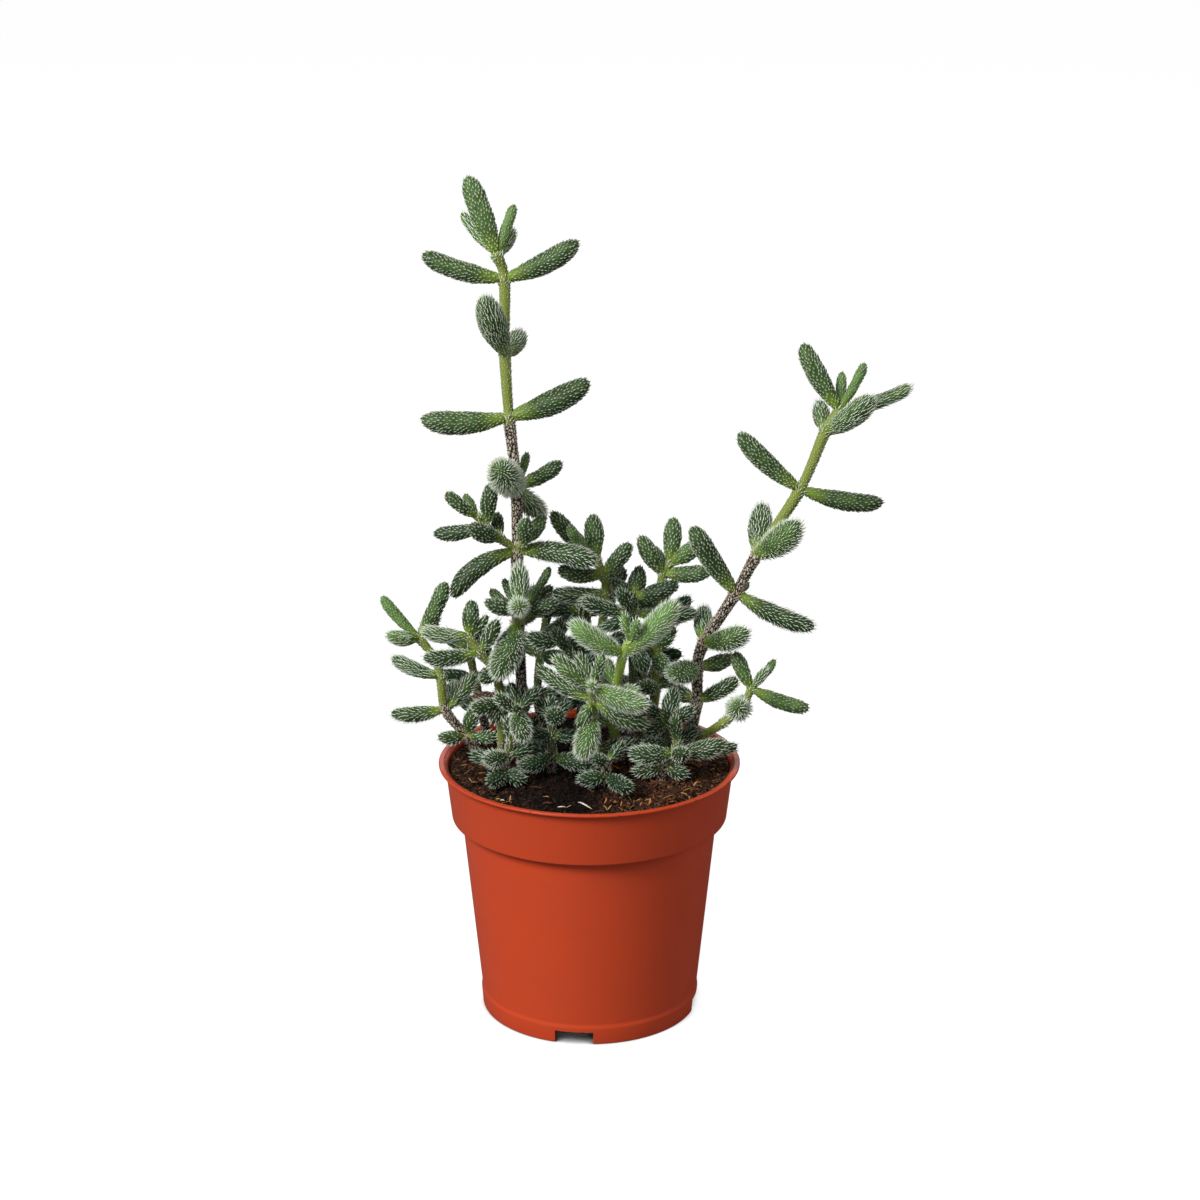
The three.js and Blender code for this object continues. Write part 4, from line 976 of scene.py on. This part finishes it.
def make_stem_material(mottle):
    """Green where young, and dark cracked bark with cream flecks where woody."""
    made, tree, shader = material_of("stem_skin", Specular_IOR_Level=0.3)
    patches, grain = mottled(tree, mottle, 3.0, 0.3)
    age = plus(tree, attribute(tree, "age"), ranged(tree, patches, 0, 1, -0.2, 0.2))
    woody = ranged(tree, age, 0.3, 0.7)
    place = add(tree, "ShaderNodeTexCoord").outputs["Object"]
    place = vector_of(tree, "MULTIPLY", place, (1, 1, 0.6))
    cells = add(tree, "ShaderNodeTexVoronoi", {"Vector": place, "Scale": BARK_CELLS / MM},
                feature="DISTANCE_TO_EDGE")
    flecks = plus(tree, cells.outputs[0], ranged(tree, grain, 0.3, 0.7, -0.05, 0.05))
    flecks = ranged(tree, flecks, 0.12, 0.22, 0, 1)
    bark = blended(tree, flecks, OLD_STEM, STEM_CREAM)
    # Painted shade: stems of low and inner shoots, whose tint is low, take the darker SHADED_STEM green
    tint = attribute(tree, "tint")
    young = blended(tree, ranged(tree, tint, 0.3, 0.7), SHADED_STEM, YOUNG_STEM)
    young = blended(tree, ranged(tree, tint, 0.7, 1.0), young, BRIGHT_STEM)
    colour = blended(tree, woody, young, bark)
    linked(tree, shader, Base_Color=colour, Roughness=ranged(tree, patches, 0, 1, 0.55, 0.8))
    raised = times(tree, flecks, woody)
    bumped(tree, shader, plus(tree, raised, times(tree, grain, 0.4)), 0.7, 0.15)
    return made


def make_bristle_material(mottle, green):
    """Leaf green at the papilla and white above it, or cream where the skin is old."""
    made, tree, shader = material_of("bristle", Roughness=0.4, Subsurface_Weight=0.15,
                                     Subsurface_Scale=0.0005)
    patches, grain = mottled(tree, mottle, 1.2, 0.3)
    old = attribute(tree, "age")
    papilla = leaf_green(tree, green, patches)
    # Painted shade: bristles of low and inner shoots, whose tint is low, are the greyer BRISTLE_SHADED
    hair = blended(tree, ranged(tree, attribute(tree, "tint"), 0.05, 0.45), BRISTLE_SHADED, BRISTLE_WHITE)
    hair = blended(tree, attribute(tree, "pale"), papilla, hair)
    hair = blended(tree, old, hair, BRISTLE_CREAM)
    hair = blended(tree, times(tree, patches, 0.15), hair, papilla)
    up = plus(tree, attribute(tree, "up"), times(tree, old, 0.3))
    linked(tree, shader, Base_Color=blended(tree, ranged(tree, up, 0.08, 0.5), papilla, hair))
    return made


def make_peat_material(mottle):
    made, tree, shader = material_of("peat", Specular_IOR_Level=0.08)
    patches, grain = mottled(tree, mottle, 1.1, 0.35, 1.8)
    # Painted shade and light: the peat is darker in the middle of the pot and browner towards the right
    share = times(tree, patches, attribute(tree, "strewn"))
    colour = blended(tree, share, PEAT_DARK, PEAT_BROWN)
    linked(tree, shader, Base_Color=colour, Roughness=ranged(tree, patches, 0, 1, 0.7, 0.95))
    bumped(tree, shader, grain, 0.8, 0.3)
    return made


def make_litter_material(mottle, name, low, high, rare):
    """Each bit has its own shade, and few are of the rare colour. All are darker where few are strewn,
    which is also painted shade in the middle of the pot.
    """
    made, tree, shader = material_of(name, Specular_IOR_Level=0.15)
    patches, grain = mottled(tree, mottle, 0.8, 0.2)
    shade = attribute(tree, "shade")
    colour = blended(tree, ranged(tree, shade, 0.2, 0.85), low, high)
    colour = blended(tree, ranged(tree, shade, 0.9, 0.96), colour, rare)
    colour = blended(tree, times(tree, patches, 0.5), colour, low)
    # Painted shade: bits in the middle of the pot are mixed towards their darkest colour
    painted_dimming = ranged(tree, attribute(tree, "strewn"), 0.25, 0.8, 0.8, 0.0)
    colour = blended(tree, painted_dimming, colour, low)
    linked(tree, shader, Base_Color=colour, Roughness=ranged(tree, patches, 0, 1, 0.65, 0.9))
    bumped(tree, shader, grain, 0.5, 0.1)
    return made


def make_pot_material(mottle):
    """Satin plastic with specks of peat near the rim, whose edge is rubbed smoother."""
    made, tree, shader = material_of("pot_plastic", Specular_IOR_Level=0.22)
    patches, grain = mottled(tree, mottle, 14.0, 0.45)
    colour = blended(tree, patches, POT_ORANGE, POT_WORN)
    place = add(tree, "ShaderNodeTexCoord").outputs["Object"]
    height = add(tree, "ShaderNodeSeparateXYZ", {0: place}).outputs[2]
    near_rim = ranged(tree, height, (POT_HEIGHT - 6) * MM, POT_HEIGHT * MM)
    dust = ranged(tree, noise(tree, place, DUST_SCALE, 3.0)[0], 0.62, 0.72)
    dust = times(tree, dust, near_rim)
    colour = blended(tree, times(tree, dust, 0.8), colour, PEAT_BROWN)
    rubbed = ranged(tree, height, (POT_HEIGHT - 1) * MM, (POT_HEIGHT - 0.3) * MM, 0, -0.18)
    roughness = plus(tree, ranged(tree, patches, 0, 1, 0.42, 0.52), rubbed)
    linked(tree, shader, Base_Color=colour, Roughness=roughness)
    bumped(tree, shader, grain, 0.12, 0.05)
    return made


# Pot
def rounded(profile, radius, steps=3):
    """The profile with each corner between its ends turned on a small bend."""
    profile = np.array(profile, float)
    line = [profile[0]]
    for before, corner, after in zip(profile, profile[1:], profile[2:]):
        back, ahead = before - corner, after - corner
        size = min(radius, np.linalg.norm(back) * 0.45, np.linalg.norm(ahead) * 0.45)
        a = corner + back / np.linalg.norm(back) * size
        b = corner + ahead / np.linalg.norm(ahead) * size
        for u in np.linspace(0, 1, steps + 1):
            line.append((1 - u) ** 2 * a + 2 * u * (1 - u) * corner + u * u * b)
    return np.array(line + [profile[-1]])


def lathe(profile, sides):
    """A closed solid of revolution; the profile starts and ends on the axis."""
    rings = profile[1:-1]
    turn = 2 * np.pi * np.arange(sides) / sides
    points = np.stack([rings[:, None, 0] * np.cos(turn), rings[:, None, 0] * np.sin(turn),
                       np.broadcast_to(rings[:, None, 1], (len(rings), sides))], -1).reshape(-1, 3)
    points = np.vstack([points, (0, 0, profile[0][1]), (0, 0, profile[-1][1])])
    faces = []
    for ring in range(len(rings) - 1):
        for i in range(sides):
            j = (i + 1) % sides
            here, above = ring * sides, (ring + 1) * sides
            faces.append([here + i, here + j, above + j, above + i])
    last = (len(rings) - 1) * sides
    for i in range(sides):
        j = (i + 1) % sides
        faces.append([j, i, len(points) - 2])
        faces.append([last + i, last + j, len(points) - 1])
    return points, faces


def make_pot():
    foot_inside = FOOT_RADIUS - FOOT_WIDTH
    lip_foot = POT_HEIGHT - LIP_HEIGHT
    profile = [
        (0, FLOOR_Z), (foot_inside, FLOOR_Z), (foot_inside, 0), (FOOT_RADIUS, 0), FOOT_BEAD,
        ABOVE_FOOT_BEAD, COLLAR_BEND, (BODY_TOP_RADIUS, BODY_TOP_Z), (COLLAR_FOOT_RADIUS, COLLAR_FOOT_Z),
        (COLLAR_RADIUS, lip_foot - LIP_BEND), (RIM_RADIUS - LIP_BEND, lip_foot),
        (RIM_RADIUS, lip_foot + LIP_BEND), (RIM_RADIUS, POT_HEIGHT - LIP_BEND),
        (RIM_RADIUS - LIP_BEND, POT_HEIGHT), (COLLAR_RADIUS + LIP_FLARE, POT_HEIGHT),
        (COLLAR_RADIUS - WALL, POT_HEIGHT - 1), (COLLAR_FOOT_RADIUS - WALL, COLLAR_FOOT_Z + 1),
        (BODY_TOP_RADIUS - WALL, BODY_TOP_Z), (FOOT_RADIUS - WALL, FLOOR_Z + WALL), (0, FLOOR_Z + WALL)]
    points, faces = lathe(rounded(profile, EDGE_BEND), POT_SIDES)
    skin = Skin()
    skin.add(points, faces)
    return skin


def make_cutter():
    """The notches of the foot and the drain holes of the floor."""
    cutter = Skin()
    corners = np.array([(x, y, z) for x in (-1, 1) for y in (-1, 1) for z in (-1, 1)], float)
    box = [[0, 1, 3, 2], [4, 6, 7, 5], [0, 4, 5, 1], [2, 3, 7, 6], [0, 2, 6, 4], [1, 5, 7, 3]]
    for i in range(NOTCH_COUNT):
        turn = math.radians(NOTCH_TURN + i * 360 / NOTCH_COUNT)
        at = corners * (NOTCH_WIDTH / 2, 1.5 * FOOT_WIDTH, NOTCH_HEIGHT) - (0, FOOT_RADIUS, 0)
        x = at[:, 0] * math.cos(turn) - at[:, 1] * math.sin(turn)
        y = at[:, 0] * math.sin(turn) + at[:, 1] * math.cos(turn)
        cutter.add(np.stack([x, y, at[:, 2]], -1), box)
    drain = np.array([(0, -2 * WALL), (DRAIN_RADIUS, -2 * WALL), (DRAIN_RADIUS, 2 * WALL), (0, 2 * WALL)])
    for i in range(DRAIN_COUNT):
        turn = i * 2 * math.pi / DRAIN_COUNT
        at = (DRAIN_CIRCLE * math.cos(turn), DRAIN_CIRCLE * math.sin(turn), FLOOR_Z)
        points, faces = lathe(drain, DRAIN_SIDES)
        cutter.add(points + at, faces)
    return cutter


def finish_pot(material):
    pot = make_pot().make("nursery_pot_blank")
    cutter = make_cutter().make("pot_cutter")
    cut = pot.modifiers.new("notches_and_drains", "BOOLEAN")
    cut.object = cutter
    cut.operation = "DIFFERENCE"
    cut.solver = "EXACT"
    bpy.context.view_layer.update()
    mesh = bpy.data.meshes.new_from_object(pot.evaluated_get(bpy.context.evaluated_depsgraph_get()))
    bpy.data.objects.remove(pot)
    bpy.data.objects.remove(cutter)
    mesh.materials.clear()
    mesh.materials.append(material)
    mesh.shade_smooth()
    mesh.set_sharp_from_angle(angle=math.radians(SHARP_EDGE))
    return piece_of("nursery_pot", mesh)


# Soil
def soil_top(x, y):
    reach = np.hypot(x, y) / (COLLAR_RADIUS - WALL)
    lumps = np.sin(0.55 * x + 1.3) * np.cos(0.47 * y - 0.4) + 0.5 * np.sin(0.9 * (x - y))
    return SOIL_EDGE_Z + SOIL_DOME * (1 - reach * reach) + SOIL_LUMP * lumps * (1 - reach ** 4)


def make_soil():
    edge = COLLAR_RADIUS - WALL - FIT_GAP
    floor_z = FLOOR_Z + WALL + FIT_GAP
    low = [(0, floor_z), (FOOT_RADIUS - WALL - FIT_GAP, floor_z),
           (BODY_TOP_RADIUS - WALL - FIT_GAP, COLLAR_FOOT_Z - 1),
           (COLLAR_FOOT_RADIUS - WALL - FIT_GAP, COLLAR_FOOT_Z + 1.4), (edge, SOIL_EDGE_Z - 2)]
    top = [(edge * (1 - i / SOIL_RINGS), SOIL_EDGE_Z) for i in range(SOIL_RINGS + 1)]
    points, faces = lathe(np.array(low + top), SOIL_SIDES)
    on_top = points[:, 2] > SOIL_EDGE_Z - 1
    points[on_top, 2] = soil_top(points[on_top, 0], points[on_top, 1])
    inward = (edge - np.hypot(points[:, 0], points[:, 1])) / 2
    skin = Skin()
    strewn = np.interp(points[:, 0], STREWN_AND_PAINTED_LIGHT_ACROSS, STREWN_AND_PAINTED_LIGHT)
    skin.add(points, faces, loose=np.clip(inward + 0.3, 0, 1) * on_top, strewn=strewn)
    return skin


def make_straws():
    """The bits in STRAWS, each bowed a little and thin at both ends."""
    skin = Skin()
    for start, end, thickness, shade in STRAWS:
        start, end = np.array(start), np.array(end)
        t = np.linspace(0, 1, STRAW_RINGS)[:, None]
        way = end - start
        side = np.cross(way, (0, 0, 1))
        side /= np.linalg.norm(side)
        top = np.cross(side, way) / np.linalg.norm(way)
        bow = (side * STRAW_BOW + top * STRAW_ARCH) * np.linalg.norm(way)
        centres = start + way * t + bow * np.sin(np.pi * t)
        radius = STRAW_WIDTH * thickness / 2 * (0.35 + 0.65 * np.sin(np.pi * t[1:-1]))
        points, faces = tube(centres, side * radius, top * radius * 0.5, STRAW_SIDES)
        skin.add(points, faces, shade=shade, strewn=1.0)
    return skin


# Build
mottle = make_mottle_group()
green = make_green_group()
leaf_material = make_leaf_material(mottle, green)
stem_material = make_stem_material(mottle)
bristle_material = make_bristle_material(mottle, green)
peat_material = make_peat_material(mottle)
crumb_material = make_litter_material(mottle, "peat_crumb", PEAT_DARK, PEAT_BROWN, PEAT_TAN)
chip_material = make_litter_material(mottle, "peat_chip", PEAT_BROWN, PEAT_TAN, FIBRE_RUST)
fibre_material = make_litter_material(mottle, "peat_fibre", PEAT_BROWN, FIBRE_RUST, FIBRE_STRAW)
straw_material = make_litter_material(mottle, "straw", FIBRE_RUST, FIBRE_STRAW, SPLINTER)

pot = finish_pot(make_pot_material(mottle))
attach(pot, "root")
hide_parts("pot")

ground = make_soil().make("peat_blank")
heaved = apply_tree(ground, make_peat_tree(), peat_material, Lump_Size=7.0, Lump_Height=3.0,
                    Crumb_Size=1.7, Crumb_Height=1.6)
soil = piece_of("peat_soil", heaved)
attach(soil, "root")
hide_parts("soil")
crumb_tree = make_crumb_tree()
crumbs = piece_of("peat_crumbs", apply_tree(
    soil, crumb_tree, crumb_material, Each_cm2=66.0, Smallest=0.4, Largest=1.7, Long=1.0, Flat=1.0,
    Roughness=0.7, Gathered=0.0, Seed=3))
chips = piece_of("peat_chips", apply_tree(
    soil, crumb_tree, chip_material, Each_cm2=52.0, Smallest=0.35, Largest=1.1, Long=1.9, Flat=0.5,
    Roughness=0.35, Gathered=1.0, Seed=5))
fibres = piece_of("peat_fibres", apply_tree(
    soil, make_fibre_tree(), fibre_material, Each_cm2=20.0, Shortest=0.8, Longest=4.0,
    Thickness=0.06, Tilt=0.6, Gathered=0.8, Seed=8))
straws = make_straws().make("peat_straws")
straws.data.materials.append(straw_material)
for litter in (crumbs, chips, fibres, straws):
    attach(litter, "root")
bpy.data.objects.remove(ground)

leaves = settle_all()
bristle_tree = make_bristle_tree()
for index, stem in enumerate(dict.fromkeys(shoot["stem"] for shoot in SHOOTS)):
    chance = np.random.default_rng(100 + index)
    skin = Skin()
    for shoot in SHOOTS:
        if shoot["stem"] == stem:
            add_stem(skin, shoot, chance)
    stem_faces = len(skin.faces)
    for leaf in leaves:
        if leaf["stem"] == stem:
            add_leaf(skin, leaf, chance)
    piece = skin.make(stem + "_skin")
    piece.data.materials.append(leaf_material)
    piece.data.materials.append(stem_material)
    slots = np.zeros(len(piece.data.polygons), np.int32)
    slots[:stem_faces] = 1
    piece.data.polygons.foreach_set("material_index", slots)
    passes = []
    for look, row in BRISTLES.items():
        if LOOK_NUMBER[look] in skin.looks:
            sizes = dict(zip(BRISTLE_SIZES, row), Look=LOOK_NUMBER[look], Seed=index)
            sizes["Gap"] *= REAR_GAP if stem.startswith("rear") else 1
            grown = apply_tree(piece, bristle_tree, bristle_material, **sizes)
            passes.append(piece_of(f"{stem}_{look}_bristles", grown))
    bristles = passes[-1]
    with bpy.context.temp_override(active_object=bristles, selected_editable_objects=passes):
        bpy.ops.object.join()
    bristles.name = stem + "_bristles"
    for made in (piece, bristles):
        made.data.shade_smooth()
        for name in ("hair", "grain", "look"):
            if name in made.data.attributes:
                made.data.attributes.remove(made.data.attributes[name])
        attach(made, "root")
    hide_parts(stem)

# Floor, light and camera. The floor glows and the surroundings are white for the camera alone, so that
# both are an even white away from the foot of the pot. Near the foot and under its notches the glow is
# cut by ambient occlusion, which paints a contact shadow.
floor_mesh = bpy.data.meshes.new("floor")
corners = [(x * FLOOR_REACH, y * FLOOR_REACH, 0) for x, y in ((-1, -1), (1, -1), (1, 1), (-1, 1))]
floor_mesh.from_pydata(corners, [], [[0, 1, 2, 3]])
floor = piece_of("floor", floor_mesh)
floor_material, tree, shader = material_of(
    "floor", Base_Color=(FLOOR_GREY, FLOOR_GREY, FLOOR_GREY, 1), Roughness=0.9,
    Emission_Color=(1, 1, 1, 1), Specular_IOR_Level=0.0)
seen = add(tree, "ShaderNodeLightPath").outputs["Is Camera Ray"]
# Painted contact shadow: the floor's glow fades where ambient occlusion finds the pot close by
clear = add(tree, "ShaderNodeAmbientOcclusion", {"Distance": PAINTED_SHADOW_REACH * MM}, samples=12).outputs["AO"]
glow_with_painted_shadow = ranged(tree, clear, 0.3, 0.6, 0, FLOOR_GLOW)
linked(tree, shader, Emission_Strength=times(tree, seen, glow_with_painted_shadow))
floor.data.materials.append(floor_material)

for name, light in LIGHTS.items():
    lamp = bpy.data.lights.new(name, "AREA")
    lamp.size = light["size"]
    lamp.energy = light["power"]
    made = bpy.data.objects.new(name, lamp)
    made.location = light["at"]
    way = np.array(LIT_POINT) - np.array(light["at"])
    made.rotation_euler = Vector(way).to_track_quat("-Z", "Y").to_euler()
    bpy.context.scene.collection.objects.link(made)

world = bpy.data.worlds.new("studio")
world.use_nodes = True
tree = world.node_tree
surround = tree.nodes["Background"]
surround.inputs["Color"].default_value = (1, 1, 1, 1)
seen = add(tree, "ShaderNodeLightPath").outputs["Is Camera Ray"]
linked(tree, surround, Strength=ranged(tree, seen, 0, 1, SURROUND_LIGHT, 1))
bpy.context.scene.world = world
bpy.context.scene.view_settings.view_transform = "Standard"

lens = bpy.data.cameras.new("camera")
lens.lens = LENS
lens.sensor_width = SENSOR
lens.clip_start, lens.clip_end = NEAREST_SEEN, FURTHEST_SEEN
camera = bpy.data.objects.new("camera", lens)
camera.location = (np.array(CAMERA_AT) + POT_AXIS) * MM
camera.rotation_euler = (math.radians(90 - CAMERA_DIP), 0, 0)
bpy.context.scene.collection.objects.link(camera)
bpy.context.scene.camera = camera
